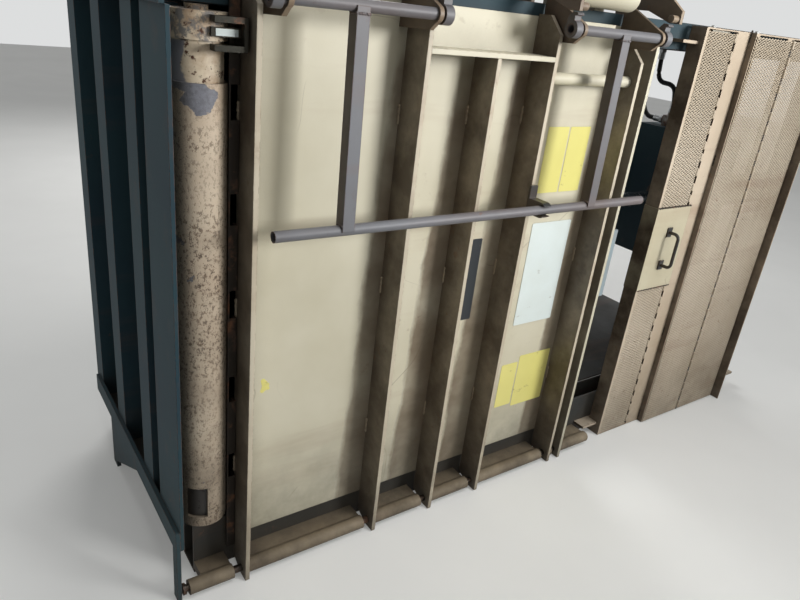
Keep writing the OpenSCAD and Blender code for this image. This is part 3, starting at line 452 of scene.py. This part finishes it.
def scraped_tube(name):
    made, tree, shader, place = start_material(name)
    cloud = span(tree, noise(tree, place, 3.0, 4.0, 0.6), 0.35, 0.65)
    colour = mixed(tree, cloud, srgb(220, 204, 180), srgb(196, 176, 152))
    pits = span(tree, noise(tree, place, 120.0, 6.0, 0.8, stretch=(1.0, 1.0, 0.7)), 0.52, 0.555)
    area = noise(tree, place, 5.0, 3.0, 0.6, shift=(0.3, 0.9, 2.0))
    pits = maths(tree, "MULTIPLY", pits, span(tree, area, 0.34, 0.56, 0.35, 1.0))
    grain = span(tree, noise(tree, place, 80.0, 3.0), 0.4, 0.6)
    brown = mixed(tree, grain, srgb(60, 42, 32), srgb(100, 74, 54))
    colour = laid_over(tree, colour, pits, 0.8, brown)
    flakes = tube_flakes(tree, place)
    grain = span(tree, noise(tree, place, 120.0, 2.0), 0.4, 0.7)
    primer = mixed(tree, grain, srgb(122, 123, 130), srgb(104, 104, 110))
    colour = mixed(tree, flakes, colour, primer)
    # Inner corners darkened: dust, and painted shade.
    colour = laid_over(tree, colour, corner_mask(tree, 0.06), 0.8, DIRT_AND_SHADE)
    # Darker towards the bottom, in clouds.
    darkened_low = darker_towards_ground(tree, place, TUBE_DARK_HEIGHT)
    colour = mixed(tree, darkened_low, colour, srgb(62, 54, 42))
    tree.links.new(colour, shader.inputs["Base Color"])
    rough = span(tree, maths(tree, "MAXIMUM", pits, darkened_low), 0.0, 1.0, 0.42, 0.85)
    tree.links.new(rough, shader.inputs["Roughness"])
    height = maths(tree, "SUBTRACT", 1.0, maths(tree, "ADD", pits, flakes))
    give_relief(tree, shader, height, 0.4)
    return made


tube_coat = scraped_tube("tube_coat")
print("large flake at:", tuple(round(v, 3) for v in FLAKE_AT))

# %% [markdown]
# The ejector shaft turns inside that tube and stands clear of it at the top. There it is cream
# paint, worn grey on the side of the base and rubbed in patches beside its clevis. Inside the
# tube it is black with grease. Two heights divide the greased, the worn and the rubbed part.

# %% Paint of the ejector shaft
GREY_PAST = at(65.0, 0.0, 0.0).x
GREASE_TOP, GREASE_FULL = 1.355, 1.340
WORN_BELOW, RUBBED_ABOVE = 1.436, 1.440


def shaft_paint(name):
    made, tree, shader, place = start_material(name)
    cloud = span(tree, noise(tree, place, 12.0, 6.0, 0.65), 0.42, 0.60)
    colour = mixed(tree, cloud, srgb(214, 198, 172), srgb(176, 150, 122))
    pits = span(tree, noise(tree, place, 60.0, 6.0, 0.7), 0.56, 0.62)
    colour = mixed(tree, pits, colour, RUST_DARK)
    ragged = maths(tree, "MULTIPLY", noise(tree, place, 26.0, 5.0, 0.6), 0.03)
    ragged = maths(tree, "ADD", along_axis(tree, place, "X"), ragged)
    bare = span(tree, ragged, GREY_PAST + 0.003, GREY_PAST)
    below = height_mask(tree, place, WORN_BELOW, RUBBED_ABOVE)
    colour = mixed(tree, maths(tree, "MULTIPLY", bare, below), colour, srgb(136, 133, 136))
    rubbed = span(tree, noise(tree, place, 30.0, 6.0, 0.7, shift=(2.2, 0.4, 0.9)), 0.47, 0.54)
    above = height_mask(tree, place, RUBBED_ABOVE, WORN_BELOW)
    colour = mixed(tree, maths(tree, "MULTIPLY", rubbed, above), colour, srgb(126, 120, 114))
    grease = height_mask(tree, place, GREASE_FULL, GREASE_TOP)
    colour = mixed(tree, grease, colour, srgb(36, 32, 28))
    tree.links.new(colour, shader.inputs["Base Color"])
    tree.links.new(span(tree, pits, 0.0, 1.0, 0.5, 0.85), shader.inputs["Roughness"])
    give_relief(tree, shader, pits, 0.3)
    return made


shaft_coat = shaft_paint("shaft_coat")
print("grease ends at:", GREASE_TOP, "m")

# %% [markdown]
# Bare parts are steel that has gone brown: still metal, but dull, with rust in clouds. The piston
# rod is hard chrome, so it is a smooth metal with only faint turning marks round its axis.

# %% Bare steel, chrome, rubber and plastic
SMALL_CORNER = 0.03


def bare_steel(name, clean, share):
    """Steel of which a share, from 0 to 1, has gone to rust."""
    made, tree, shader, place = start_material(name)
    clouds = noise(tree, place, 17.0, 8.0, 0.68)
    rusty = span(tree, clouds, 0.60 - 0.3 * share, 0.72 - 0.2 * share)
    colour = mixed(tree, rusty, clean, rust_tone(tree, place, 70.0, 4.0))
    # Inner corners darkened: dust, and painted shade.
    colour = laid_over(tree, colour, corner_mask(tree, SMALL_CORNER), 0.6, DIRT_AND_SHADE)
    tree.links.new(colour, shader.inputs["Base Color"])
    tree.links.new(span(tree, rusty, 0.0, 1.0, 0.85, 0.1), shader.inputs["Metallic"])
    tree.links.new(span(tree, rusty, 0.0, 1.0, 0.38, 0.85), shader.inputs["Roughness"])
    swollen = maths(tree, "MULTIPLY", rusty, 0.6)
    height = maths(tree, "ADD", noise(tree, place, 150.0, 5.0, 0.6), swollen)
    give_relief(tree, shader, height, 0.35, 0.0008)
    return made


def hard_chrome(name):
    made, tree, shader, place = start_material(name)
    turned = noise(tree, place, 60.0, 2.0, 0.5, stretch=(6.0, 0.2, 0.2))
    smear = noise(tree, place, 6.0, 4.0, 0.6)
    oily = span(tree, smear, 0.45, 0.75, 0.0, 0.35)
    colour = mixed(tree, oily, srgb(205, 207, 210), srgb(120, 112, 98))
    tree.links.new(colour, shader.inputs["Base Color"])
    shader.inputs["Metallic"].default_value = 1.0
    rough = span(tree, maths(tree, "ADD", turned, smear), 0.7, 1.4, 0.12, 0.34)
    tree.links.new(rough, shader.inputs["Roughness"])
    return made


def soft_solid(name, dark, light, rough, scale):
    made, tree, shader, place = start_material(name)
    colour = mixed(tree, span(tree, noise(tree, place, scale, 5.0), 0.35, 0.7), dark, light)
    # Inner corners darkened: dust, and painted shade.
    colour = laid_over(tree, colour, corner_mask(tree, SMALL_CORNER), 0.6, DUST_AND_SHADE)
    tree.links.new(colour, shader.inputs["Base Color"])
    patchy = noise(tree, place, 3 * scale, 3.0)
    patchy = span(tree, patchy, 0.3, 0.7, rough - 0.1, rough + 0.1)
    tree.links.new(patchy, shader.inputs["Roughness"])
    give_relief(tree, shader, noise(tree, place, 300.0, 2.0), 0.2, 0.0005)
    return made


worn_steel = bare_steel("worn_steel", srgb(150, 147, 142), 0.55)
old_steel = bare_steel("old_steel", srgb(58, 53, 49), 0.25)
grey_steel = bare_steel("grey_steel", srgb(62, 59, 55), 0.2)
greasy_steel = bare_steel("greasy_steel", srgb(46, 45, 40), 0.05)
zinc = bare_steel("zinc_fittings", srgb(186, 188, 188), 0.1)
weld_coat = painted_steel(
    "weld_coat", srgb(196, 180, 152), srgb(150, 130, 104), rust=0.7, chips=0.0, dust_and_corner_shade=0.8)
chrome = hard_chrome("rod_chrome")
rubber = soft_solid("hose_rubber", srgb(22, 22, 23), srgb(38, 37, 36), 0.62, 40.0)
plastic = soft_solid("slide_plastic", srgb(212, 210, 198), srgb(190, 186, 170), 0.55, 18.0)
print("finishes so far:", len(bpy.data.materials))

# %% [markdown]
# Each solid now gets its finish, a likely one where the photograph hides it. The ribs carry more
# rust than the skin, the base is dark blue-green, and the lever is grey.

# %% Paint the solids
COATS = {
    teal: ("base_beams", "foot_plates", "front_sill", "oil_tank", "post_right_rear",
           "post_left_front", "post_left_rear", "side_wall_left", "side_stiffeners",
           "rear_stiffeners", "rear_wall", "head_beam"),
    # Near black, as painted shade.
    shade_painted_body: ("post_right_front", "side_wall_right"),
    inner: ("floor_plate", "platen", "platen_ribs", "ejector_plate"),
    skin_coat: ("door_skin",),
    cream: ("door_edge_plate", "door_shelf", "door_cross_pipe", "door_end_bar", "keeper_tube"),
    handle_coat: ("gate_handle_plate",),
    shaded_plate_coat: ("bearing_plates", "keeper_lugs"),
    cream_rib: ("door_rib_1", "door_rib_2", "door_rib_3", "door_rib_4", "door_rib_5"),
    bar_coat: ("hinge_barrels",),
    shaft_coat: ("ejector_shaft",),
    gate_coat: ("gate_lower_frame", "gate_upper_frame", "gate_rails"),
    mesh_coat: ("gate_mesh_lower", "gate_mesh_middle", "gate_mesh_upper"),
    tube_coat: ("sill_sleeve",),
    lever_coat: ("lock_shaft_lower", "lock_shaft_upper", "lever_arms", "grip_bar", "lock_cams"),
    strip_coat: ("door_edge_strip",),
    black_coat: ("cylinder", "pump", "bar_keeper", "gate_handle"),
    motor_coat: ("motor",),
    worn_steel: ("valve_block",),
    old_steel: ("hinge_pin", "strap_bar"),
    greasy_steel: ("ejector_clevis",),
    chrome: ("piston_rod",),
    rubber: ("hoses",),
    plastic: ("gate_shoes", "platen_shoes"),
}
painted = set()
for coat, names in COATS.items():
    for name in names:
        solid = nodes[name]
        solid.data.materials.clear()
        solid.data.materials.append(coat)
        painted.add(name)
print("painted:", len(painted), "left over:", sorted(set(nodes) - painted))

# %% [markdown]
# New pieces are made with bmesh operators. These helpers start a box, a rod or a ball at its
# place in the shared frame and hand the finished mesh to a body, with its coat.

# %% Helpers for pieces
SHARP_ANGLE = math.radians(35)


def box_into(work, low, high):
    made = bmesh.ops.create_cube(work, size=1.0)
    bmesh.ops.scale(work, vec=high - low, verts=made["verts"])
    bmesh.ops.translate(work, vec=(low + high) / 2, verts=made["verts"])
    return made["verts"]


def rod_into(work, start, end, radius, sides=16, radius_end=None):
    """A rod, or a cone where radius_end is given."""
    along = end - start
    turn = along.to_track_quat("Z", "Y").to_matrix().to_4x4()
    bmesh.ops.create_cone(
        work, cap_ends=True, segments=sides, radius1=radius,
        radius2=radius if radius_end is None else radius_end, depth=along.length,
        matrix=Matrix.Translation((start + end) / 2) @ turn)


def ball_into(work, place, radius, fineness=2, flat=1.0):
    """A round drop; flat presses it along Y, towards the skin that it sits on."""
    drop = bmesh.ops.create_icosphere(work, subdivisions=fineness, radius=radius)
    if flat != 1.0:
        bmesh.ops.scale(work, vec=(1.0, flat, 1.0), verts=drop["verts"])
    bmesh.ops.translate(work, vec=place, verts=drop["verts"])


def finish_piece(name, work, body, coat, smooth=True, soften=0.0):
    bmesh.ops.recalc_face_normals(work, faces=work.faces)
    mesh = bpy.data.meshes.new(name)
    work.to_mesh(mesh)
    work.free()
    piece = bpy.data.objects.new(name, mesh)
    bpy.context.collection.objects.link(piece)
    mesh.materials.append(coat)
    if smooth:
        mesh.shade_smooth()
        mesh.set_sharp_from_angle(angle=SHARP_ANGLE)
    if soften:
        bevel = piece.modifiers.new("softened edges", "BEVEL")
        bevel.width = soften
        bevel.segments = 2
        bevel.limit_method = "ANGLE"
    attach(piece, body)
    print(name, "on", body + ", faces:", len(mesh.polygons))
    return piece


print("solids before the first new piece:", len(nodes))

# %% [markdown]
# Expanded metal is one sheet that was slit and pulled open. Every strand is a zigzag along X, and
# it meets its mirrored neighbour at each bend. So one strand is extruded step by step as a small
# bar, copied once in mirror image, and the pair is repeated up the panel. The strands lean like
# louvres, with their outer edge low, so from eye height the gate looks nearly closed.

# %% One strand of expanded metal
LONG_WAY, SHORT_WAY = 20.0, 10.0
STRAND_WIDE, STRAND_THICK = 5.0, 1.3
LEAN = math.radians(56)
MESH_LOW, MESH_HIGH = 5.0, 1582.0


def strand_into(work, x_low, x_high, y, z, up):
    """One zigzag bar along X; up is 1 or -1 for its first bend."""
    steps = max(2, round((x_high - x_low) / (LONG_WAY / 2)))
    stride = (x_high - x_low) / steps
    half = SHORT_WAY / 4 - STRAND_THICK * 0.3
    wide_y, wide_z = math.cos(LEAN) * STRAND_WIDE / 2, math.sin(LEAN) * STRAND_WIDE / 2
    thick_y, thick_z = -math.sin(LEAN) * STRAND_THICK / 2, math.cos(LEAN) * STRAND_THICK / 2
    corners = ((-1, -1), (1, -1), (1, 1), (-1, 1))

    def ring(step):
        x, rise = x_low + step * stride, up * (half if step % 2 else -half)
        return [
            at(x, y + a * wide_y + b * thick_y, z + rise + a * wide_z + b * thick_z)
            for a, b in corners
        ]

    end = work.faces.new([work.verts.new(p) for p in ring(0)])
    for step in range(1, steps + 1):
        grown = bmesh.ops.extrude_face_region(work, geom=[end])
        end = [f for f in grown["geom"] if isinstance(f, bmesh.types.BMFace)][0]
        for vert, spot in zip(end.verts, ring(step)):
            vert.co = spot


print("mesh openings:", LONG_WAY, "x", SHORT_WAY, "mm")

# %% [markdown]
# The gate's three panels lie in two depths: the narrow one sits deeper, behind the handle plate.
# Each takes the place of a solid, a sheet that is pierced by far larger diamonds.

# %% Panels of the gate
def mesh_panel(name, x_low, x_high, y, replaced):
    pitch = SHORT_WAY / 2
    pairs = int((MESH_HIGH - MESH_LOW) / SHORT_WAY)
    work = bmesh.new()
    strand_into(work, x_low, x_high, y, MESH_LOW + pitch, 1)
    strand_into(work, x_low, x_high, y, MESH_LOW + 2 * pitch, -1)
    source = work.verts[:] + work.edges[:] + work.faces[:]
    for index in range(1, pairs):
        copied = bmesh.ops.duplicate(work, geom=source)
        moved = [v for v in copied["geom"] if isinstance(v, bmesh.types.BMVert)]
        bmesh.ops.translate(work, vec=(0.0, 0.0, mm(SHORT_WAY * index)), verts=moved)
    panel = finish_piece(name, work, "gate", mesh_coat, smooth=False)
    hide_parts(replaced)
    print(name, "strands:", 2 * pairs)


mesh_panel("expanded_mesh_lower", 1738, 1910, 34.0, "gate_mesh_lower")
mesh_panel("expanded_mesh_middle", 2001, 2241, 6.5, "gate_mesh_middle")
mesh_panel("expanded_mesh_upper", 2249, 2519, 6.5, "gate_mesh_upper")

# %% [markdown]
# Between a sheet's cut edge and the bar beside it runs a narrow dark seam. It is bridged by a tack
# weld every 50 mm or so, which gives the two dashed lines across the gate.

# %% Seams and tacks along the mesh
SEAMS = ((1914.0, 37.0, 9.0), (2245.0, 6.0, 10.0))  # x, y and width of each
TACKS, TACK_PITCH, TACK_LOW = 31, 51.0, 24.0
DROPS, DROP_PITCH, DROP_RADIUS = 5, 5.0, 6.0

seams, tacks = bmesh.new(), bmesh.new()
for x, y, wide in SEAMS:
    low, high = at(x - wide / 2, y - 0.5, MESH_LOW), at(x + wide / 2, y + 0.5, MESH_HIGH)
    box_into(seams, low, high)
    for index in range(TACKS):
        z = TACK_LOW + index * TACK_PITCH + 5 * math.sin(index * 2.1)
        for step in range(DROPS):
            ball_into(tacks, at(x, y - 2, z + DROP_PITCH * step), mm(DROP_RADIUS))
finish_piece("mesh_seams", seams, "gate", old_steel)
finish_piece("mesh_tacks", tacks, "gate", mesh_coat)

# %% [markdown]
# Thin plates sit on the door skin: a white one, two pairs of yellow fields and a dark strip. They
# are only fields of colour here. Their coats are smoother than the paint round them and keep few
# marks: short scuffs along X, which show the brown below.

# %% Coats of the fields
SCUFF = srgb(120, 106, 82)


def field_coat(name, clean, worn_tone, share):
    """A smooth coat of which a share, from 0 to 1, is scuffed."""
    made, tree, shader, place = start_material(name)
    scuffs = noise(tree, place, 34.0, 8.0, 0.7, stretch=(0.5, 1.0, 1.0))
    scuffs = span(tree, scuffs, 0.64, 0.70)
    cloud = span(tree, noise(tree, place, 8.0, 4.0), 0.3, 0.7, 0.0, 0.35)
    colour = mixed(tree, cloud, clean, worn_tone)
    colour = laid_over(tree, colour, scuffs, 0.8 * share, SCUFF)
    tree.links.new(colour, shader.inputs["Base Color"])
    tree.links.new(span(tree, scuffs, 0.0, 1.0, 0.34, 0.7), shader.inputs["Roughness"])
    give_relief(tree, shader, noise(tree, place, 25.0, 3.0), 0.25, 0.0004)
    return made


white_field = field_coat("white_field_coat", srgb(222, 232, 230), srgb(202, 208, 198), 0.5)
yellow_field = field_coat("yellow_field_coat", srgb(228, 220, 132), srgb(212, 202, 116), 0.7)
dark_field = field_coat("dark_field_coat", srgb(46, 50, 54), srgb(60, 62, 62), 0.5)
print("coats for the fields:", white_field.name, yellow_field.name, dark_field.name)

# %% [markdown]
# Each field is a flat box with small rounded corners, a hair proud of the skin. Only the four
# edges that run through the sheet are bevelled, as a cut plate has them.

# %% Fields of colour on the door
SKIN_FRONT = 90.0
CORNER_RADIUS = 4.0
THIN, THICK = 0.8, 1.6
FIELDS = {  # x from and to, z from and to, thickness, coat
    "white_plate": (1165, 1345, 590, 955, THICK, white_field),
    "yellow_field_1": (1154, 1246, 1055, 1261, THIN, yellow_field),
    "yellow_field_2": (1252, 1344, 1055, 1261, THIN, yellow_field),
    "yellow_field_3": (1150, 1226, 262, 436, THIN, yellow_field),
    "yellow_field_4": (1232, 1385, 249, 458, THIN, yellow_field),
    "dark_strip": (918, 958, 655, 927, THIN, dark_field),
}


def runs_along_y(edge):
    return abs(edge.verts[0].co.y - edge.verts[1].co.y) > 1e-5


for name, (x_low, x_high, z_low, z_high, thick, coat) in FIELDS.items():
    work = bmesh.new()
    box_into(work, at(x_low, SKIN_FRONT - thick, z_low), at(x_high, SKIN_FRONT, z_high))
    bmesh.ops.bevel(
        work, geom=[e for e in work.edges if runs_along_y(e)], offset=mm(CORNER_RADIUS),
        segments=3, profile=0.5, affect="EDGES", material=-1)
    finish_piece(name, work, "door", coat)

# %% [markdown]
# Welds are rows of small drops, each a bit into the last one. The ribs are only stitched to the
# skin, with short runs far apart, because a long weld would warp so thin a plate.

# %% Stitch welds of the ribs
RIB_LINES = (180.0, 606.0, 831.0, 1037.0, 1404.0)
STITCH_HEIGHTS = (355.0, 825.0, 1295.0)
STITCH_HALF, RIB_HALF = 22.0, 7.5


def weld_run(work, start, end, radius=4.0, pitch=4.5):
    """Drops from start to end, in machine millimetres; each is pushed off the line a little."""
    start, end = Vector(start), Vector(end)
    count = max(2, int((end - start).length / pitch))
    for index in range(count + 1):
        spot = start.lerp(end, index / count)
        wander = 0.5 * math.sin(index * 2.4 + start.x)
        size = radius * (1.0 + 0.12 * math.sin(index * 1.7 + start.z))
        ball_into(work, at(spot.x + wander, spot.y, spot.z + wander), mm(size))


stitches = bmesh.new()
for rib_x in RIB_LINES:
    for middle in STITCH_HEIGHTS:
        for x in (rib_x - RIB_HALF, rib_x + RIB_HALF):
            weld_run(stitches, (x, SKIN_FRONT - 1, middle - STITCH_HALF),
                     (x, SKIN_FRONT - 1, middle + STITCH_HALF))
finish_piece("rib_stitch_welds", stitches, "door", weld_coat)

# %% [markdown]
# A small smear of yellow paint has dried on the skin in the first bay. It is six flat drops that
# run into each other, pressed against the skin.

# %% Smear of yellow paint
SMEAR = (  # x, z and radius of each drop
    (251, 596, 7), (255, 588, 9), (262, 581, 8), (256, 574, 10), (250, 566, 7), (266, 570, 5))
smear = bmesh.new()
for x, z, radius in SMEAR:
    ball_into(smear, at(x, SKIN_FRONT, z), mm(radius), fineness=3, flat=0.08)
finish_piece("paint_smear", smear, "door", yellow_field)

# %% [markdown]
# The lever's two arms are welded to the pipes at both ends, on three sides where a torch could
# reach. The handle plate and the narrow bars of the gate are welded to the gate's frame. All of
# these runs are finer than the stitches on the ribs.

# %% Welds of the lever and the gate
ARMS, ARM_HALF = (380.0, 1228.0), 16.0
UPPER_END, LOWER_END = 1523, 1068
LEVER_BEAD, GATE_BEAD = (3.0, 3.6), (3.4, 4.2)  # radius and pitch

lever_welds = bmesh.new()
for arm_x in ARMS:
    for side in (-1, 1):
        x = arm_x + side * ARM_HALF
        weld_run(lever_welds, (x, -58, UPPER_END), (x, -34, UPPER_END), *LEVER_BEAD)
        weld_run(lever_welds, (x, -66, LOWER_END), (x, -42, LOWER_END), *LEVER_BEAD)
        z = UPPER_END if side > 0 else LOWER_END
        weld_run(lever_welds, (arm_x - ARM_HALF, -62, z), (arm_x + ARM_HALF, -62, z), *LEVER_BEAD)
finish_piece("lever_welds", lever_welds, "lever", lever_coat)

GATE_WELD_Y = 29
gate_welds = bmesh.new()
for z in (658.0, 980.0):
    weld_run(gate_welds, (1736, GATE_WELD_Y, z), (1930, GATE_WELD_Y, z), *GATE_BEAD)
for z in (20.0, 420.0, 1130.0, 1560.0):
    weld_run(gate_welds, (1997, GATE_WELD_Y, z), (1997, GATE_WELD_Y, z + 34), *GATE_BEAD)
finish_piece("gate_welds", gate_welds, "gate", old_steel)

# %% [markdown]
# A hose ends in a steel fitting: a six-sided nut, then a sleeve that was crimped onto the rubber
# in rings. Here it is one hexagon and four pairs of short rods in line. The same end is set at
# both ends of each of the four hoses.

# %% Hose ends
HOSE_ENDS = (  # place and direction
    ((2460, 1102, 709.5), (1, 0, 0)), ((2460, 1158, 709.5), (1, 0, 0)),
    ((2710, 618.3, 839.5), (0, 1, 0)), ((3500, 618.3, 839.5), (0, 1, 0)),
    ((2570, 635, 1215.3), (0, 0, 1)), ((2570, 674.3, 1176), (0, 1, 0)),
    ((2570, 765, 1488.7), (0, 0, -1)), ((2570, 815, 1488.7), (0, 0, -1)))
NUT_LONG, NUT_RADIUS = 14, 17
CRIMPS, CRIMP_PITCH = 4, 8


def hose_end_into(work, spot, along):
    spot, along = at(*spot), Vector(along)
    rod_into(work, spot - along * mm(2), spot + along * mm(NUT_LONG), mm(NUT_RADIUS), 6)
    for step in range(CRIMPS):
        start = spot + along * mm(NUT_LONG + CRIMP_PITCH * step)
        rod_into(work, start, start + along * mm(7), mm(14.5), 24)
        rod_into(work, start + along * mm(6), start + along * mm(9), mm(13), 24)


hose_ends = bmesh.new()
for spot, along in HOSE_ENDS:
    hose_end_into(hose_ends, spot, along)
finish_piece("hose_ends", hose_ends, "frame", zinc)

# %% [markdown]
# The middle tongue of the ejector's clevis is faced with a pale strip: a thin plate in a smooth
# pale coat.

# %% Facing of the clevis
cover = bmesh.new()
box_into(cover, at(106, 42.6, 1453), at(153, 44, 1467))
finish_piece("clevis_cover", cover, "ejector", white_field)

# %% [markdown]
# A bolt is a washer, a six-sided head and a low dome, sized from the width of its head as bolts
# are. Eight hold the cylinder's flange, eight the tank, four the motor, and two sit on the end
# of the gate.

# %% Bolts
FLANGE_X, FLANGE_Y, FLANGE_Z, FLANGE_BOLTS_AT = 2670, 520, 839.5, 105
FLANGE_HEAD, TANK_HEAD, MOTOR_HEAD, GATE_HEAD = 20, 11, 13, 15


def bolt_into(work, spot, along, across):
    """A bolt whose head is so many millimetres across its flats."""
    spot, along = at(*spot), Vector(along)
    rod_into(work, spot - along * mm(1), spot + along * mm(2), mm(across * 0.68), 24)
    rod_into(work, spot + along * mm(1), spot + along * mm(0.62 * across), mm(across * 0.577), 6)
    rod_into(work, spot + along * mm(0.6 * across), spot + along * mm(0.7 * across),
             mm(across * 0.46), 24, mm(across * 0.34))


bolts = bmesh.new()
for step in range(8):
    turn = math.radians(22.5 + 45 * step)
    y = FLANGE_Y + FLANGE_BOLTS_AT * math.cos(turn)
    z = FLANGE_Z + FLANGE_BOLTS_AT * math.sin(turn)
    bolt_into(bolts, (FLANGE_X, y, z), (1, 0, 0), FLANGE_HEAD)
for y in (1000, 1260):
    for z in (580, 710, 970, 1100):
        bolt_into(bolts, (2360, y, z), (1, 0, 0), TANK_HEAD)
for y in (1070, 1190):
    for z in (869.5, 989.5):
        bolt_into(bolts, (2464, y, z), (1, 0, 0), MOTOR_HEAD)
finish_piece("frame_bolts", bolts, "frame", grey_steel)

gate_bolts = bmesh.new()
for x in (1790, 2060):
    bolt_into(gate_bolts, (x, 46, 1586), (0, 0, 1), GATE_HEAD)
finish_piece("gate_bolts", gate_bolts, "gate", zinc)

# %% [markdown]
# The motor is cooled by long fins round its barrel and by air drawn through rings in its cover.
# One fin is a thin box; it is turned round the motor's axis every ten degrees, and left out on
# top, where the terminal box sits. The rings are discs in steps, the inner ones further out.

# %% Fins and grille of the motor
MOTOR_Y, MOTOR_Z = 1130.0, 929.5
FIN_BACK, FIN_LONG = 2474, 160
FIN_FROM, FIN_TO, FIN_HALF = 92, 103, 1.3
FIN_TURN, BOX_FROM, BOX_TO = 10, 60, 120  # degrees

fins = bmesh.new()
for angle in range(0, 360, FIN_TURN):
    if BOX_FROM < angle < BOX_TO:
        continue
    low = Vector((0.0, mm(FIN_FROM), mm(-FIN_HALF)))
    high = Vector((mm(FIN_LONG), mm(FIN_TO), mm(FIN_HALF)))
    fin = box_into(fins, low, high)
    turn = Matrix.Rotation(math.radians(angle), 4, "X")
    bmesh.ops.rotate(fins, cent=(0, 0, 0), matrix=turn, verts=fin)
    bmesh.ops.translate(fins, vec=at(FIN_BACK, MOTOR_Y, MOTOR_Z), verts=fin)
for ring in range(5):
    start = at(2684 + 1.5 * ring, MOTOR_Y, MOTOR_Z)
    rod_into(fins, start - Vector((mm(2), 0, 0)), start + Vector((mm(1.5), 0, 0)),
             mm(84 - 15 * ring), 48)
finish_piece("motor_fins", fins, "frame", motor_coat)

# %% [markdown]
# The oil tank has a filler cap, and a level gauge on its back: a small tube between two blocks.

# %% Cap and gauge of the tank
CAP_Y, CAP_Z = 1040, 619.5
fittings = bmesh.new()
rod_into(fittings, at(2398, CAP_Y, CAP_Z), at(2416, CAP_Y, CAP_Z), mm(35), 20)
rod_into(fittings, at(2416, CAP_Y, CAP_Z), at(2422, CAP_Y, CAP_Z), mm(30), 20, mm(22))
for x in (2080, 2236):
    box_into(fittings, at(x, 1278, 890), at(x + 24, 1294, 920))
rod_into(fittings, at(2100, 1286, 905), at(2240, 1286, 905), mm(7), 20)
finish_piece("tank_fittings", fittings, "frame", black_coat, soften=mm(1.0))

# %% [markdown]
# The studio is a flat pale floor and a pale world. Both look pale to the camera, through glass
# and in gloss, and the floor glows a little for such rays; a matt surface gets none of that
# light. The floor is not part of the machine.

# %% Floor
FLOOR_HALF = 14.0
FLOOR_GLOW = 0.2


def seen_directly(tree):
    """1 for rays from the camera, through glass or off gloss, which see the pale background."""
    rays = tree.nodes.new("ShaderNodeLightPath").outputs
    bent = maths(tree, "MAXIMUM", rays["Is Glossy Ray"], rays["Is Transmission Ray"])
    return maths(tree, "MAXIMUM", rays["Is Camera Ray"], bent)


floor_work = bmesh.new()
bmesh.ops.create_grid(floor_work, x_segments=2, y_segments=2, size=FLOOR_HALF)
floor_mesh = bpy.data.meshes.new("studio_floor")
floor_work.to_mesh(floor_mesh)
floor_work.free()
floor = bpy.data.objects.new("studio_floor", floor_mesh)
bpy.context.collection.objects.link(floor)

floor_coat, floor_tree, floor_shader, floor_place = start_material("floor_coat")
cloud = span(floor_tree, noise(floor_tree, floor_place, 0.8, 4.0), 0.35, 0.65)
floor_colour = mixed(floor_tree, cloud, srgb(222, 222, 219), srgb(214, 214, 211))
floor_tree.links.new(floor_colour, floor_shader.inputs["Base Color"])
floor_shader.inputs["Roughness"].default_value = 0.8
glow = maths(floor_tree, "MULTIPLY", seen_directly(floor_tree), FLOOR_GLOW)
floor_tree.links.new(glow, floor_shader.inputs["Emission Strength"])
floor_shader.inputs["Emission Color"].default_value = srgb(236, 236, 233)
floor_mesh.materials.append(floor_coat)
print("floor:", 2 * FLOOR_HALF, "m wide")

# %% [markdown]
# Three soft lamps. The key lamp stands in front of the machine, towards its gate end, and is
# aimed high, so its light falls off towards the ground and the base. The second looks down on the
# floor in front. The third stands behind, for the rear and for the top edges.

# %% Lamps
def soft_lamp(name, place, target, width, height, power, spread):
    lamp = bpy.data.lights.new(name, "AREA")
    lamp.shape = "RECTANGLE"
    lamp.size = width
    lamp.size_y = height
    lamp.energy = power
    lamp.spread = math.radians(spread)
    holder = bpy.data.objects.new(name, lamp)
    bpy.context.collection.objects.link(holder)
    place, target = Vector(place), Vector(target)
    aim = (target - place).to_track_quat("-Z", "Y").to_matrix().to_4x4()
    holder.matrix_world = Matrix.Translation(place) @ aim
    print(name, power, "W")


soft_lamp("key_lamp", (1.6, -4.4, 2.35), (-0.6, -0.5, 1.75), 1.5, 1.3, 32, 62)
soft_lamp("floor_lamp", (-0.4, -2.6, 5.2), (-0.4, -2.4, 0.0), 4.0, 3.0, 48, 110)
soft_lamp("back_lamp", (1.0, 4.6, 3.8), (0.0, 0.0, 0.9), 3.0, 2.0, 170, 180)

# %% [markdown]
# The world holds two skies. A dim one lights the machine evenly from all sides, and a pale one is
# what the camera sees; the kind of ray chooses between them.

# %% World
SKY_LIGHT = 0.17

world = bpy.data.worlds.new("studio")
bpy.context.scene.world = world
world.use_nodes = True
world_tree = world.node_tree
sky = world_tree.nodes["Background"]
sky.inputs["Color"].default_value = (0.80, 0.82, 0.84, 1.0)
sky.inputs["Strength"].default_value = SKY_LIGHT
seen = add(world_tree, "ShaderNodeBackground", Color=(0.72, 0.73, 0.73, 1.0), Strength=1.0)
choose = world_tree.nodes.new("ShaderNodeMixShader")
world_tree.links.new(seen_directly(world_tree), choose.inputs[0])
world_tree.links.new(sky.outputs[0], choose.inputs[1])
world_tree.links.new(seen.outputs[0], choose.inputs[2])
world_tree.links.new(choose.outputs[0], world_tree.nodes["World Output"].inputs["Surface"])
bpy.context.scene.view_settings.view_transform = "Standard"
print("sky light:", SKY_LIGHT)

# %% Last update of the scene
bpy.context.view_layer.update()
